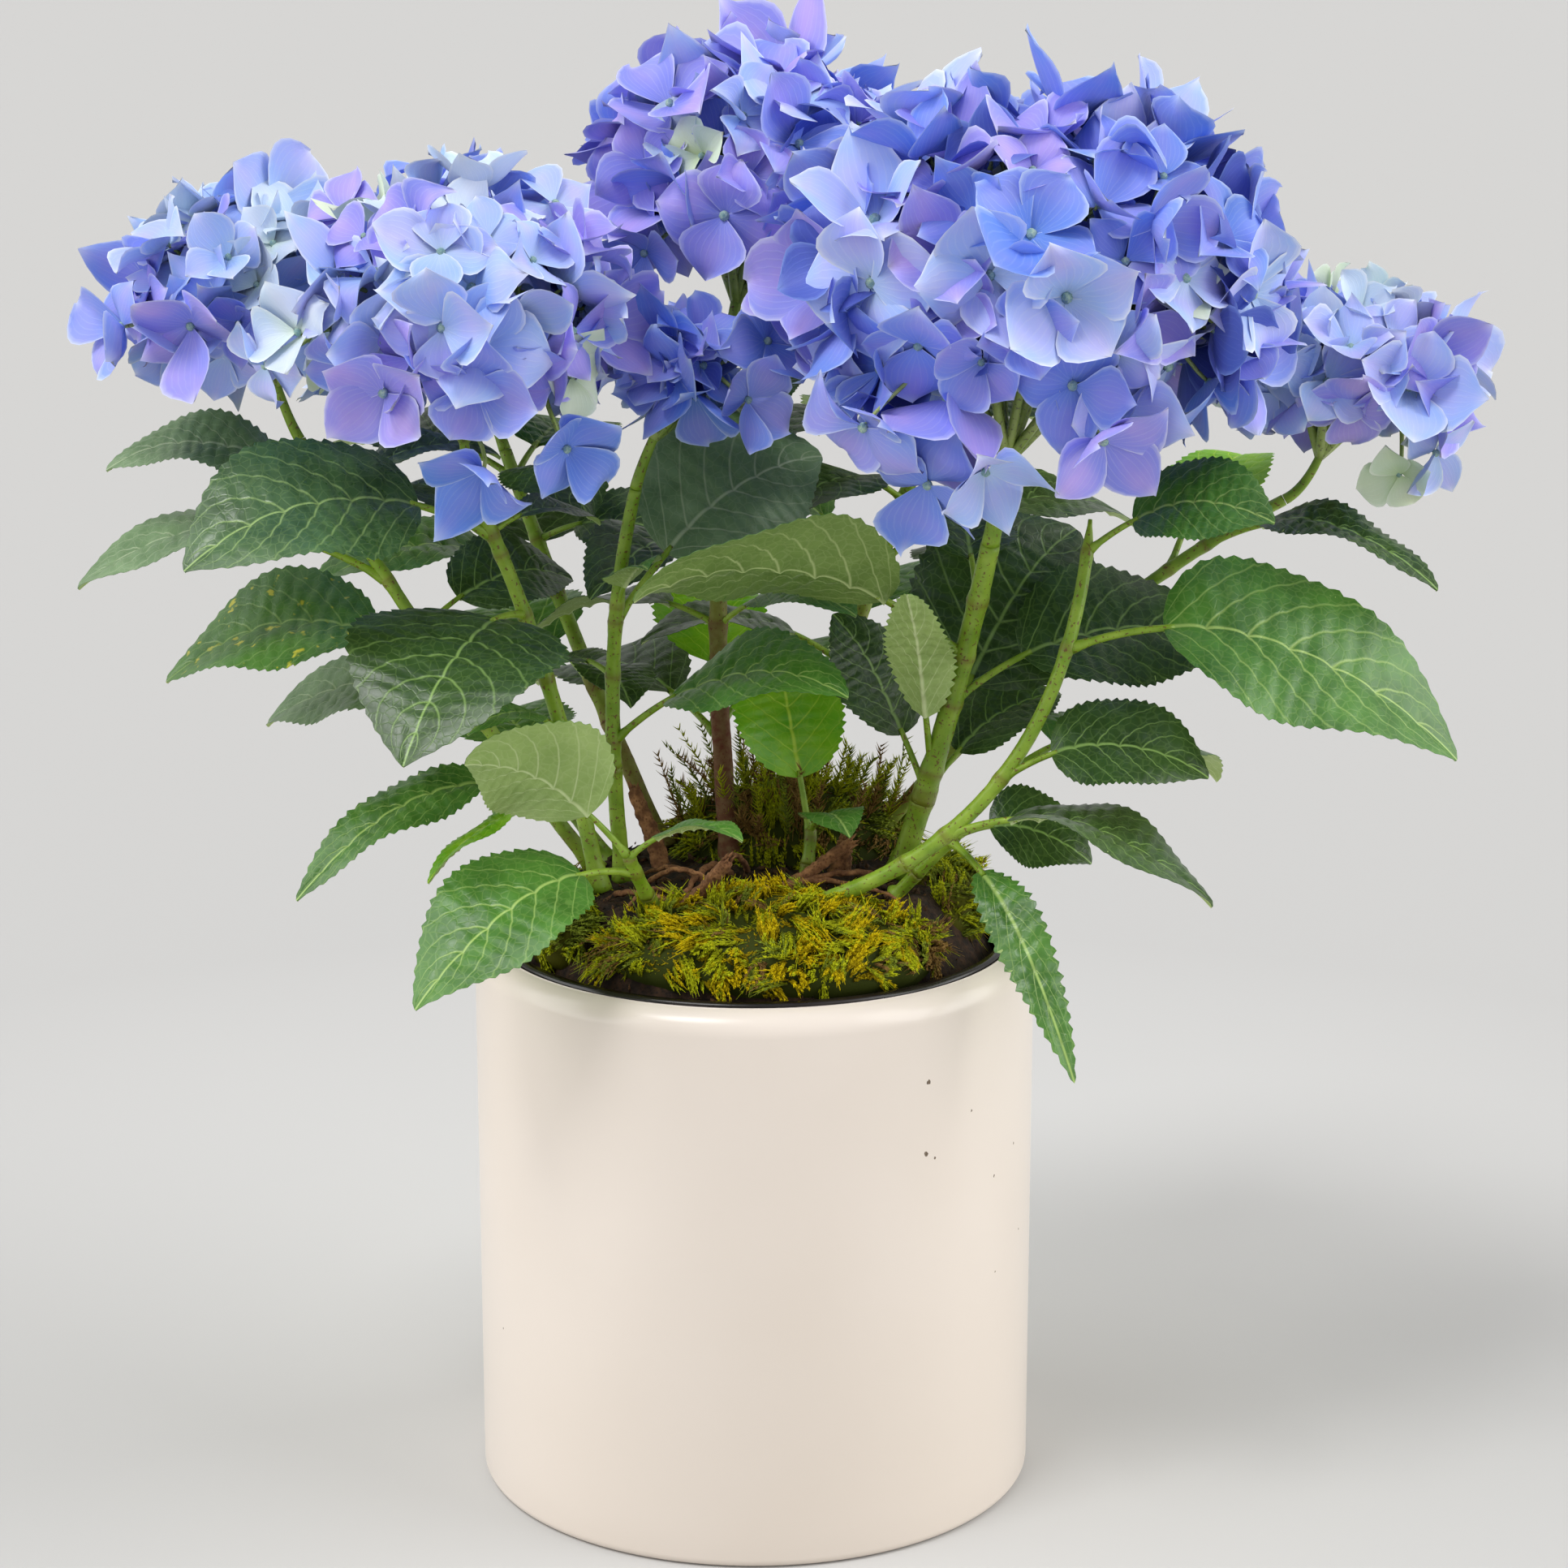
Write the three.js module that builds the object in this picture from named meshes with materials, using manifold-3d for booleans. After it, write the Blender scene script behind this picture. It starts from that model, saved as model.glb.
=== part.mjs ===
// A mophead hydrangea in a cream pot: canes, leafy shoots and flower heads, with the pot, its
// liner, the root ball and the moss on it. Millimetres, +Z up, front towards -Y.
// The origin is the centre of the pot's flat underside.

import * as THREE from "three";
import { mergeVertices } from "three/addons/utils/BufferGeometryUtils.js";
import Module from "manifold-3d";

const wasm = await Module();
wasm.setup();

// ---- driving dimensions ----

const clearance = 0.3; // between pieces that touch

const pot = { radius: 90, height: 180, opening: 82.8, lip: 8, foot: 3, floor: 7, sides: 36 };
const liner = {
  rim: 82.5, rimHeight: 6, rimWidth: 3.4, top: 181, foot: 62, wall: 1.3, rounding: 0.8, sides: 36,
};
const soil = { flat: 58, level: 198, edge: 172, sides: 36 };

const moss = {
  front: { at: [5, -48, 186], size: [53, 27, 19] },
  back: { at: [12, 42, 192], size: [42, 30, 28] },
  left: { at: [-58, -18, 186], size: [15, 27, 15] },
  right: { at: [61, 4, 186], size: [15, 28, 16] },
};

// A stub is the dry foot of an old cane: where it stands, how far its tip leans and its size.
const stubs = [
  { foot: [-22, -34], lean: [15, -14, 20], radius: 2.6 },
  { foot: [6, -18], lean: [26, 6, 17], radius: 2.2 },
  { foot: [-30, 14], lean: [-9, 8, 26], radius: 3 },
  { foot: [26, 2], lean: [4, -2, 14], radius: 3.4 },
];

// A leaf's parts as shares of its reach: petiole, blade width, arch of the midrib and thickness.
// Its blade is drawn at so many stations, from near the petiole to near the tip, and swells and
// narrows by two powers; at its widest it has its full width.
const leafForm = {
  petiole: 0.24, width: 0.7, arch: 0.34, fold: 0.1, thickness: 0.013, leastThickness: 0.3,
  rollSpread: 16, stations: 4, firstStation: 0.65, reachOfStations: 0.92, petioleSize: 0.8,
  swell: 0.58, narrow: 0.94, widest: 0.365, samples: 8,
};
const leafRoom = { blade: 5, limb: 6.5, ownCane: 5.5, head: 5, pot: 3, soil: 6 }; // least distances
const floret = {
  radius: 22.5, cup: 5.5, notch: 0.62, notchLift: 0.3, thickness: 1.2, pedicel: 1, spacing: 38,
  leastSize: 0.86, sizeSpread: 0.24, keptInside: 0.3, hang: 0.7,
};
// The head: its florets end at the lowest angle from the top and lie in three layers. Each stands
// on a ray that starts inside the core.
const headForm = {
  lowest: 128, core: 0.72, golden: 137.508, stalkBend: 14, stalkEnd: 0.9, layer: 2.2, layers: 3,
  spread: 10, rayStart: 0.55,
};
const caneForm = { flare: 1.4, flareEnd: 0.06, sides: 8, steps: 4 };

// A cane: foot, bend and tip of its axis, its thickness at foot and tip, and where along it the
// bare wood ends and the leafy shoot ends. Leaves are [place along the cane, turn, rise, reach,
// roll, breadth]: the turn counts from +X towards +Y and the rise from the level, in degrees, and
// the reach runs from the cane to the leaf's tip; breadth is 1 where it isn't given. A head is
// the centre of the flower head, its half widths, and its height above and depth below it.
const canes = {
  a: {
    axis: [[46, 2], [66, -6, 262], [76, -32, 330]],
    radius: [3.7, 2.9], wood: 0.2, top: 0.86,
    leaves: [[0.23, 150, 58, 64, -10, 1.05], [0.28, 255, 61, 74, 0, 0.5],
      [0.28, 47, 44, 100, 30, 1.2], [0.58, 200, 13, 112, 30], [0.46, 12, 6, 96, 30],
      [0.72, 95, 15, 60], [0.215, 26, 30, 58, 20, 1.1]],
    head: { at: [85, -30, 389], half: [75, 62], up: 58, down: 58 },
  },
  b: {
    axis: [[10, -40], [95, -60, 225], [104, -20, 318]],
    radius: [2.6, 1.9], wood: 0.24, top: 1,
    leaves: [[0.34, 342, -10, 86, 5], [0.5, 350, 3, 64, 30, 1.1], [0.5, 36, -8, 92],
      [0.78, 0, -16, 127, 25, 0.98], [0.95, 340, 12, 60, 25, 1.25]],
  },
  c: {
    axis: [[-8, 20], [-16, 36, 280], [-8, 56, 372]],
    radius: [3.3, 2.4], wood: 0.36, top: 0.9,
    leaves: [[0.45, 324, 10, 56, 20], [0.45, 165, -6, 66], [0.68, 70, 8, 92],
      [0.89, 212, 8, 44, -10, 1.1], [0.83, 298, 12, 44, 0, 1.2], [0.58, 228, -6, 60, -10, 1.2]],
    head: { at: [2, 60, 417], half: [54, 48], up: 41, down: 35 },
  },
  d: {
    axis: [[-42, -2], [-50, -12, 280], [-34, -18, 336]],
    radius: [2.6, 1.9], wood: 0.24, top: 0.92,
    leaves: [[0.3, 336, 15, 84, 25], [0.58, 24, 34, 86, 35, 1.25], [0.62, 291, 30, 34, 20],
      [0.45, 130, -14, 50, 0, 1.1]],
    head: { at: [-20, -12, 363], half: [17, 20], up: 18, down: 22 },
  },
  e: {
    axis: [[-49, -16], [-64, -14, 280], [-88, -28, 332]],
    radius: [2.7, 2], wood: 0.28, top: 0.92,
    leaves: [[0.34, 226, 8, 40], [0.62, 246, -22, 84, 0, 1.5],
      [0.83, 204, -2, 98, -24, 1.2], [0.84, 29, 0, 38],
      [0.46, 174, 6, 52], [0.78, 132, 14, 56]],
    head: { at: [-88, -34, 379], half: [48, 50], up: 47, down: 36 },
  },
  f: {
    axis: [[-51, 8], [-98, -2, 262], [-152, 16, 352]],
    radius: [2.5, 1.8], wood: 0.28, top: 0.92,
    leaves: [[0.36, 157, -5, 82, -15], [0.5, 172, -6, 92, -20], [0.66, 181, -1, 99, -14, 0.75],
      [0.82, 176, 6, 74, -20, 0.7], [0.82, 20, 10, 56], [0.56, 30, 12, 56, 28, 1.3]],
    head: { at: [-157, 16, 383], half: [42, 38], up: 36, down: 34 },
  },
  g: {
    axis: [[36, 36], [108, 34, 285], [180, 25, 322]],
    radius: [2.5, 1.8], wood: 0.36, top: 0.93,
    leaves: [[0.45, 120, 12, 88], [0.68, 60, 24, 70], [0.76, 326, -4, 82, 8, 0.5]],
    head: { at: [188, 24, 360], half: [39, 36], up: 29, down: 30 },
  },
  h: {
    axis: [[10, 50], [34, 84, 270], [66, 104, 344]],
    radius: [3.1, 2.2], wood: 0.3, top: 0.92,
    leaves: [[0.38, 80, 4, 92], [0.38, 190, 8, 70], [0.6, 12, 6, 92], [0.6, 150, 8, 88],
      [0.86, 50, -6, 88], [0.86, 118, -4, 76], [0.74, 232, 0, 72, 0, 1.15]],
    head: { at: [76, 109, 384], half: [50, 46], up: 44, down: 40 },
  },
  k: {
    axis: [[-30, 36], [-62, 66, 262], [-88, 84, 336]],
    radius: [2.9, 2.1], wood: 0.3, top: 0.92,
    leaves: [[0.38, 130, 2, 94], [0.6, 111, 8, 88], [0.6, 196, 4, 84], [0.86, 155, -4, 88],
      [0.86, 70, 0, 72], [0.72, 340, -4, 60, 20, 1.1], [0.4, 290, 0, 44, 0, 1.2],
      [0.86, 300, -6, 56, 20, 1.2]],
    head: { at: [-99, 90, 373], half: [46, 43], up: 42, down: 40 },
  },
  // Young shoots from the foot of the plant, with no flower head.
  sproutFront: {
    axis: [[-30, -40], [-35, -52, 210], [-38, -60, 222]],
    radius: [2.4, 1.9], wood: 0.3, top: 1,
    leaves: [[0.7, 213, -22, 83, -10, 1.05], [0.95, 195, 33, 60, 45, 1.6], [0.95, 335, 14, 40]],
  },
  sproutCentre: {
    axis: [[16, -2], [18, -1, 206], [18, 1, 215]],
    radius: [2.2, 1.7], wood: 0.3, top: 1,
    leaves: [[0.8, 118, 66, 68], [0.95, 290, 10, 36]],
  },
  sproutRight: {
    axis: [[45, -21], [56, -27, 212], [64, -32, 221]],
    radius: [2.2, 1.7], wood: 0.3, top: 1,
    leaves: [[0.85, 300, -40, 92, 35, 0.3], [0.95, 2, -12, 44, 30, 1.3]],
  },
  sproutBack: {
    axis: [[-8, 46], [-12, 64, 220], [-14, 74, 236]],
    radius: [2.2, 1.7], wood: 0.3, top: 1,
    leaves: [[0.8, 60, 8, 84], [0.8, 139, 4, 86], [0.95, 95, 34, 70]],
  },
  sproutLeft: {
    axis: [[-47, 22], [-62, 25, 216], [-72, 24, 228]],
    radius: [2.2, 1.7], wood: 0.3, top: 1,
    leaves: [[0.8, 197, -21, 90, -15, 0.5], [0.8, 111, 0, 78], [0.5, 214, -17, 56, 0, 0.45]],
  },
};

const colours = {
  glaze: 0xe6dbd0, plastic: 0x1d1714, soil: 0x3a2a1e, mossFront: 0x9a9a3c, mossBack: 0x55552a,
  deadWood: 0x6b4630, cane: 0x6f8a3e, leaf: 0x3c6b33, bloom: 0x7f8fd6,
};

const group = new THREE.Group();
const degree = Math.PI / 180;
const up = new THREE.Vector3(0, 0, 1);

// ---- solids ----

function solid(geometry) {
  geometry.deleteAttribute("normal");
  geometry.deleteAttribute("uv");
  const merged = mergeVertices(geometry, 1e-4);
  const vertProperties = new Float32Array(merged.attributes.position.array);
  const triVerts = new Uint32Array(merged.index.array);
  return new wasm.Manifold(new wasm.Mesh({ numProp: 3, vertProperties, triVerts }));
}

// The largest shell of a joined solid: hollows that the joining sealed are filled, and scraps drop.
function outerShell({ vertProperties, triVerts }) {
  const parent = Array.from({ length: vertProperties.length / 3 }, (_, i) => i);
  const rootOf = (i) => {
    let at = i;
    while (parent[at] !== at) at = parent[at] = parent[parent[at]];
    return at;
  };
  for (let i = 0; i < triVerts.length; i += 3) {
    parent[rootOf(triVerts[i])] = rootOf(triVerts[i + 1]);
    parent[rootOf(triVerts[i + 2])] = rootOf(triVerts[i + 1]);
  }
  const corner = (i) => new THREE.Vector3().fromArray(vertProperties, triVerts[i] * 3);
  const shells = new Map();
  for (let i = 0; i < triVerts.length; i += 3) {
    const key = rootOf(triVerts[i]);
    if (!shells.has(key)) shells.set(key, { volume: 0, faces: [] });
    const shell = shells.get(key);
    shell.volume += corner(i).dot(corner(i + 1).cross(corner(i + 2)));
    shell.faces.push(...triVerts.slice(i, i + 3));
  }
  return [...shells.values()].reduce((best, shell) => (shell.volume > best.volume ? shell : best)).faces;
}

function addMesh(name, body, colour, roughness) {
  const mesh = body.getMesh();
  const geometry = new THREE.BufferGeometry();
  geometry.setAttribute("position", new THREE.BufferAttribute(mesh.vertProperties, 3));
  geometry.setIndex(outerShell(mesh));
  geometry.computeVertexNormals();
  const material = new THREE.MeshStandardMaterial({ color: colour, roughness, metalness: 0 });
  const node = new THREE.Mesh(geometry, material);
  node.name = name;
  group.add(node);
}

function join(bodies) {
  return bodies.reduce((whole, body) => whole.add(body));
}

// A solid of revolution about the Z axis from [radius, height] pairs that start and end on it.
function turned(profile, sides) {
  const points = profile.map(([radius, height]) => new THREE.Vector2(radius, height));
  return solid(new THREE.LatheGeometry(points, sides).rotateX(Math.PI / 2));
}

function arc(radius, height, size, from, to, steps) {
  const points = [];
  for (let i = 0; i <= steps; i += 1) {
    const angle = (from + ((to - from) * i) / steps) * degree;
    points.push([radius + size * Math.cos(angle), height + size * Math.sin(angle)]);
  }
  return points;
}

// A limb that tapers along a curve, cut square to the curve, or flat on the level where asked.
function limb(curve, from, to, radiusAt, sides, steps, flatFoot = false) {
  const tube = new THREE.CylinderGeometry(1, 1, 1, sides, steps);
  const places = tube.attributes.position;
  const chord = curve.getPoint(to).sub(curve.getPoint(from)).normalize();
  const level = Math.abs(chord.z) > 0.6 ? new THREE.Vector3(0, 1, 0) : up;
  for (let i = 0; i < places.count; i += 1) {
    const t = from + (places.getY(i) + 0.5) * (to - from);
    const centre = curve.getPoint(t);
    const along = flatFoot && t === from ? up : curve.getTangent(t);
    const side = new THREE.Vector3().crossVectors(level, along).normalize();
    const other = new THREE.Vector3().crossVectors(side, along);
    const size = radiusAt(t);
    centre.addScaledVector(side, places.getX(i) * size);
    centre.addScaledVector(other, places.getZ(i) * size);
    places.setXYZ(i, centre.x, centre.y, centre.z);
  }
  return solid(tube);
}

function vector(point) {
  return new THREE.Vector3(point[0], point[1], point.length > 2 ? point[2] : soil.level + clearance);
}

function bent(points) {
  return new THREE.QuadraticBezierCurve3(...points.map(vector));
}

// The same small random sequence for the same seed.
function seeded(seed) {
  let state = seed;
  return () => {
    state = (state * 16807) % 2147483647;
    return state / 2147483647;
  };
}

// ---- pot, liner, soil and moss ----

function coverPot() {
  const inner = pot.opening;
  const profile = [
    [0, 0],
    ...arc(pot.radius - pot.foot, pot.foot, pot.foot, -90, 0, 3),
    ...arc(pot.radius - pot.lip, pot.height - pot.lip, pot.lip, 0, 75, 4),
    [inner + 0.5, pot.height],
    [inner, pot.height - 0.5],
    [inner, pot.floor],
    [0, pot.floor],
  ];
  addMesh("cover_pot", turned(profile, pot.sides), colours.glaze, 0.3);
}

const linerFloor = pot.floor + clearance;
const linerInner = liner.rim - liner.rimWidth;

function growPot() {
  const shoulder = liner.top - liner.rimHeight;
  const edge = liner.rounding;
  const profile = [
    [0, linerFloor],
    [liner.foot, linerFloor],
    [linerInner + edge, shoulder],
    [liner.rim - edge, shoulder],
    [liner.rim, shoulder + edge],
    [liner.rim, liner.top - edge * 2],
    [liner.rim - edge * 2, liner.top],
    [linerInner + edge, liner.top],
    [linerInner, liner.top - edge],
    [linerInner - edge, shoulder],
    [liner.foot - liner.wall, linerFloor + liner.wall],
    [0, linerFloor + liner.wall],
  ];
  addMesh("grow_pot", turned(profile, liner.sides), colours.plastic, 0.35);
}

function rootBallSolid(lift) {
  const bottom = linerFloor + liner.wall + clearance;
  const inside = clearance * 1.5;
  const edge = linerInner - liner.rounding - inside;
  const profile = [
    [0, bottom],
    [liner.foot - liner.wall - inside, bottom],
    [edge, soil.edge + lift],
    [(edge + soil.flat) / 2, (soil.edge + soil.level) / 2 + 2 + lift],
    [soil.flat, soil.level + lift],
    [0, soil.level + lift],
  ];
  return turned(profile, soil.sides);
}

function mossSolid({ at, size }) {
  const dome = new THREE.SphereGeometry(1, 14, 8).rotateX(Math.PI / 2);
  return solid(dome.scale(...size).translate(...at));
}

// ---- leaves ----

function leafDirection(turn, rise) {
  const level = Math.cos(rise * degree);
  return new THREE.Vector3(
    Math.cos(turn * degree) * level,
    Math.sin(turn * degree) * level,
    Math.sin(rise * degree),
  );
}

// The midrib arches from the cane to the tip; the blade starts where the petiole ends.
function leafMidrib(root, turn, rise, reach) {
  const direction = leafDirection(turn, rise);
  const tip = root.clone().addScaledVector(direction, reach);
  const bend = root.clone().addScaledVector(direction, reach * 0.5);
  bend.addScaledVector(up, reach * leafForm.arch * Math.cos(rise * degree));
  return new THREE.QuadraticBezierCurve3(root, bend, tip);
}

// Half the blade's width at s, from 0 at the petiole to 1 at the tip: ovate with a drawn-out tip.
function leafHalfWidth(s, { reach, breadth }) {
  const full = (reach * (1 - leafForm.petiole) * leafForm.width * breadth) / 2;
  const { swell, narrow, widest } = leafForm;
  return (full * Math.pow(s, swell) * Math.pow(1 - s, narrow)) / widest;
}

// The directions across the leaf and out of its upper face.
function leafAxes(leaf, t) {
  const along = leaf.midrib.getTangent(t);
  const level = new THREE.Vector3(-Math.sin(leaf.turn * degree), Math.cos(leaf.turn * degree), 0);
  const side = level.applyAxisAngle(along, leaf.roll * degree);
  return { side, face: new THREE.Vector3().crossVectors(along, side) };
}

// A point of the blade: s along it and across from -1 to 1.
function leafPoint(leaf, s, across) {
  const t = leafForm.petiole + s * (1 - leafForm.petiole);
  const point = leaf.midrib.getPoint(t);
  const { side, face } = leafAxes(leaf, t);
  const half = leafHalfWidth(s, leaf);
  point.addScaledVector(side, across * half);
  point.addScaledVector(face, Math.abs(across) * half * leafForm.fold);
  return { point, face };
}

function leafSamples(leaf) {
  const samples = [];
  for (let i = 0; i <= leafForm.samples; i += 1) {
    const s = 0.02 + (0.96 * i) / leafForm.samples;
    for (const across of [-1, -0.5, 0, 0.5, 1]) samples.push(leafPoint(leaf, s, across).point);
  }
  return samples;
}

// A leaf is one closed loft: a thin square petiole that starts inside the cane, then a lens of
// one edge on either side and a top and a bottom line in the middle, out to the tip.
function leafSolid(leaf) {
  const thick = leaf.reach * leafForm.thickness + leafForm.leastThickness;
  const stalk = thick * leafForm.petioleSize;
  const points = [];
  for (const t of [0.01, leafForm.petiole]) {
    const middle = leaf.midrib.getPoint(t);
    const { side, face } = leafAxes(leaf, t);
    for (const [across, above] of [[-1, 0], [0, 1], [1, 0], [0, -1]]) {
      const corner = middle.clone().addScaledVector(side, across * stalk);
      points.push(corner.addScaledVector(face, above * stalk));
    }
  }
  for (let i = 0; i < leafForm.stations; i += 1) {
    const s = ((i + leafForm.firstStation) / leafForm.stations) * leafForm.reachOfStations;
    const middle = leafPoint(leaf, s, 0);
    const lower = middle.point.clone().addScaledVector(middle.face, -thick);
    points.push(leafPoint(leaf, s, -1).point, middle.point, leafPoint(leaf, s, 1).point, lower);
  }
  points.push(leafPoint(leaf, 1, 0).point);
  const faces = [0, 1, 2, 0, 2, 3];
  const last = points.length - 1;
  for (let k = 0; k < 4; k += 1) {
    const next = (k + 1) % 4;
    for (let a = 0; a < last - 4; a += 4) {
      faces.push(a + k, a + 4 + next, a + next, a + k, a + 4 + k, a + 4 + next);
    }
    faces.push(last - 4 + k, last, last - 4 + next);
  }
  const geometry = new THREE.BufferGeometry().setFromPoints(points);
  geometry.setIndex(faces);
  return solid(geometry);
}

// ---- what is already placed, so that a leaf keeps its own space ----

const placed = [];

function insideHead(point, { at, half, up: above, down }) {
  const room = leafRoom.head + floret.cup;
  const x = (point.x - at[0]) / (half[0] + room);
  const y = (point.y - at[1]) / (half[1] + room);
  const z = (point.z - at[2]) / ((point.z > at[2] ? above : down) + room);
  const fringe = at[2] - down * Math.cos((180 - headForm.lowest) * degree) - floret.radius * floret.hang;
  return point.z > fringe && x * x + y * y + z * z < 1;
}

function isClear(samples, ownCane) {
  for (const point of samples) {
    if (Object.values(canes).some(({ head }) => head && insideHead(point, head))) return false;
    const outwards = Math.hypot(point.x, point.y);
    const ground = outwards < linerInner ? soil.level : pot.height;
    if (outwards < pot.radius + leafRoom.pot && point.z < ground + leafRoom.soil) return false;
    for (const cane of Object.values(canes)) {
      const room = cane === ownCane ? leafRoom.ownCane : leafRoom.limb;
      if (cane.line.some((spot) => spot.distanceTo(point) < room)) return false;
    }
    for (const other of placed) {
      if (other.some((spot) => spot.distanceTo(point) < leafRoom.blade)) return false;
    }
  }
  return true;
}

// A leaf that would come too close to a limb, a head, the pot or another leaf is left out.
function placeLeaf(cane, [at, turn, rise, reach, roll = 0, breadth = 1], random) {
  const midrib = leafMidrib(cane.curve.getPoint(at), turn, rise, reach);
  const leaf = { midrib, turn, reach, breadth, roll: roll + (random() - 0.5) * leafForm.rollSpread };
  const samples = leafSamples(leaf);
  if (!isClear(samples, cane)) return [];
  placed.push(samples);
  return [leafSolid(leaf)];
}

// ---- flower heads ----

// A floret is a cupped plate of four broad pointed sepals round a low centre.
function floretSolid(place, outward, spin, size) {
  const side = new THREE.Vector3(0, 1, 0).cross(outward).normalize();
  const other = new THREE.Vector3().crossVectors(outward, side);
  const rim = [];
  const shape = [[0, 1, 1], [45, floret.notch, floret.notchLift]];
  for (let sepal = 0; sepal < 4; sepal += 1) {
    for (const [turn, reach, lift] of shape) {
      const angle = (spin + sepal * 90 + turn) * degree;
      const point = place.clone();
      point.addScaledVector(side, Math.cos(angle) * reach * size);
      point.addScaledVector(other, Math.sin(angle) * reach * size);
      point.addScaledVector(outward, lift * floret.cup);
      rim.push(point);
    }
  }
  const top = place.clone().addScaledVector(outward, floret.thickness / 2);
  const bottom = place.clone().addScaledVector(outward, -floret.thickness);
  const faces = [];
  for (let i = 0; i < rim.length; i += 1) {
    const next = (i + 1) % rim.length;
    faces.push(i, next, rim.length, next, i, rim.length + 1);
  }
  const geometry = new THREE.BufferGeometry().setFromPoints([...rim, top, bottom]);
  geometry.setIndex(faces);
  return solid(geometry);
}

// A point of the head's dome: polar from the top, turn about the upright.
function domePoint({ at, half, up: above, down }, polar, turn) {
  const level = Math.sin(polar * degree);
  const x = Math.cos(turn * degree) * level;
  const y = Math.sin(turn * degree) * level;
  const z = Math.cos(polar * degree);
  const height = z > 0 ? above : down;
  const place = new THREE.Vector3(at[0] + x * half[0], at[1] + y * half[1], at[2] + z * height);
  const outward = new THREE.Vector3(x / half[0], y / half[1], z / height).normalize();
  return { place, outward };
}

function headCore({ at, half, up: above, down }) {
  const ball = new THREE.SphereGeometry(1, 9, 6).rotateX(Math.PI / 2);
  const places = ball.attributes.position;
  for (let i = 0; i < places.count; i += 1) {
    const z = places.getZ(i);
    places.setXYZ(
      i,
      at[0] + places.getX(i) * half[0] * headForm.core,
      at[1] + places.getY(i) * half[1] * headForm.core,
      at[2] + z * (z > 0 ? above : down) * headForm.core,
    );
  }
  return solid(ball);
}

function floretCount({ half, up: above, down }) {
  const mean = (half[0] + half[1] + (above + down) / 2) / 3;
  const area = 2 * Math.PI * mean * mean * (1 - Math.cos(headForm.lowest * degree));
  return Math.round(area / (floret.spacing * floret.spacing));
}

function headSolid(cane, random) {
  const { head } = cane;
  const centre = vector(head.at);
  const tip = cane.curve.getPoint(cane.top);
  const along = cane.curve.getTangent(cane.top);
  const start = tip.clone().addScaledVector(along, clearance);
  const bend = start.clone().addScaledVector(along, headForm.stalkBend);
  const stalk = new THREE.QuadraticBezierCurve3(start, bend, centre);
  const bodies = [limb(stalk, 0, headForm.stalkEnd, () => cane.radius[1], 6, 3), headCore(head)];
  const others = Object.values(canes).filter((own) => own.head && own !== cane);
  const count = floretCount(head);
  const span = 1 - Math.cos(headForm.lowest * degree);
  for (let i = 0; i < count; i += 1) {
    const polar = Math.acos(1 - (span * (i + 0.5)) / count) / degree;
    const spread = (random() - 0.5) * headForm.spread;
    const spin = random() * 90;
    const size = floret.radius * (floret.leastSize + random() * floret.sizeSpread);
    const depth = (i % headForm.layers) * headForm.layer;
    const { place, outward } = domePoint(head, polar, i * headForm.golden + spread);
    place.addScaledVector(outward, -depth);
    const reach = place.clone().addScaledVector(outward, size * floret.keptInside);
    if (others.some((other) => insideHead(reach, other.head))) continue;
    const ray = new THREE.LineCurve3(centre.clone().lerp(place, headForm.rayStart), place);
    bodies.push(limb(ray, 0, 1, () => floret.pedicel, 3, 1));
    bodies.push(floretSolid(place, outward, spin, size));
  }
  return join(bodies);
}

// ---- assembly ----

coverPot();
growPot();
addMesh("root_ball", rootBallSolid(0), colours.soil, 0.95);

const limbSpaces = []; // the limbs near the soil, a little fatter, for the moss to keep clear of

for (const cane of Object.values(canes)) {
  cane.curve = bent(cane.axis);
  cane.line = cane.curve.getPoints(28);
}

Object.entries(canes).forEach(([name, cane], index) => {
  const random = seeded(1000 + index * 77);
  const [foot, tip] = cane.radius;
  const flare = (t) => Math.max(0, 1 - t / caneForm.flareEnd) * caneForm.flare;
  const thickness = (t) => foot + (tip - foot) * t + flare(t);
  const spaced = (t) => thickness(t) + clearance;
  const { sides, steps } = caneForm;
  const gap = clearance / cane.curve.getLength();
  const bark = name.startsWith("sprout") ? "sprout" : "cane";
  const label = bark === "cane" ? name : name.slice(6).toLowerCase();
  const wood = limb(cane.curve, 0, cane.wood, thickness, sides, steps, true);
  addMesh(`${bark}_${label}`, wood, colours.cane, 0.6);
  limbSpaces.push(limb(cane.curve, 0, cane.wood, spaced, sides, steps, true));
  const bodies = [limb(cane.curve, cane.wood + gap, cane.top, thickness, sides, steps)];
  limbSpaces.push(limb(cane.curve, cane.wood + gap, cane.top, spaced, sides, steps));
  for (const leaf of cane.leaves) bodies.push(...placeLeaf(cane, leaf, random));
  addMesh(`${bark}_${label}_leaves`, join(bodies), colours.leaf, 0.5);
  if (cane.head) addMesh(`bloom_${label}`, headSolid(cane, random), colours.bloom, 0.6);
});

stubs.forEach(({ foot, lean, radius }, index) => {
  const start = vector(foot);
  const tip = start.clone().add(new THREE.Vector3(...lean));
  const axis = new THREE.LineCurve3(start, tip);
  addMesh(`dry_stub_${index + 1}`, limb(axis, 0, 1, () => radius, 7, 2, true), colours.deadWood, 0.8);
  limbSpaces.push(limb(axis, 0, 1, () => radius + clearance, 7, 2, true));
});

const keepClear = join([rootBallSolid(clearance), ...limbSpaces]);
for (const [place, form] of Object.entries(moss)) {
  const colour = place === "back" ? colours.mossBack : colours.mossFront;
  addMesh(`moss_${place}`, mossSolid(form).subtract(keepClear), colour, 0.95);
}

export default group;
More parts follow.
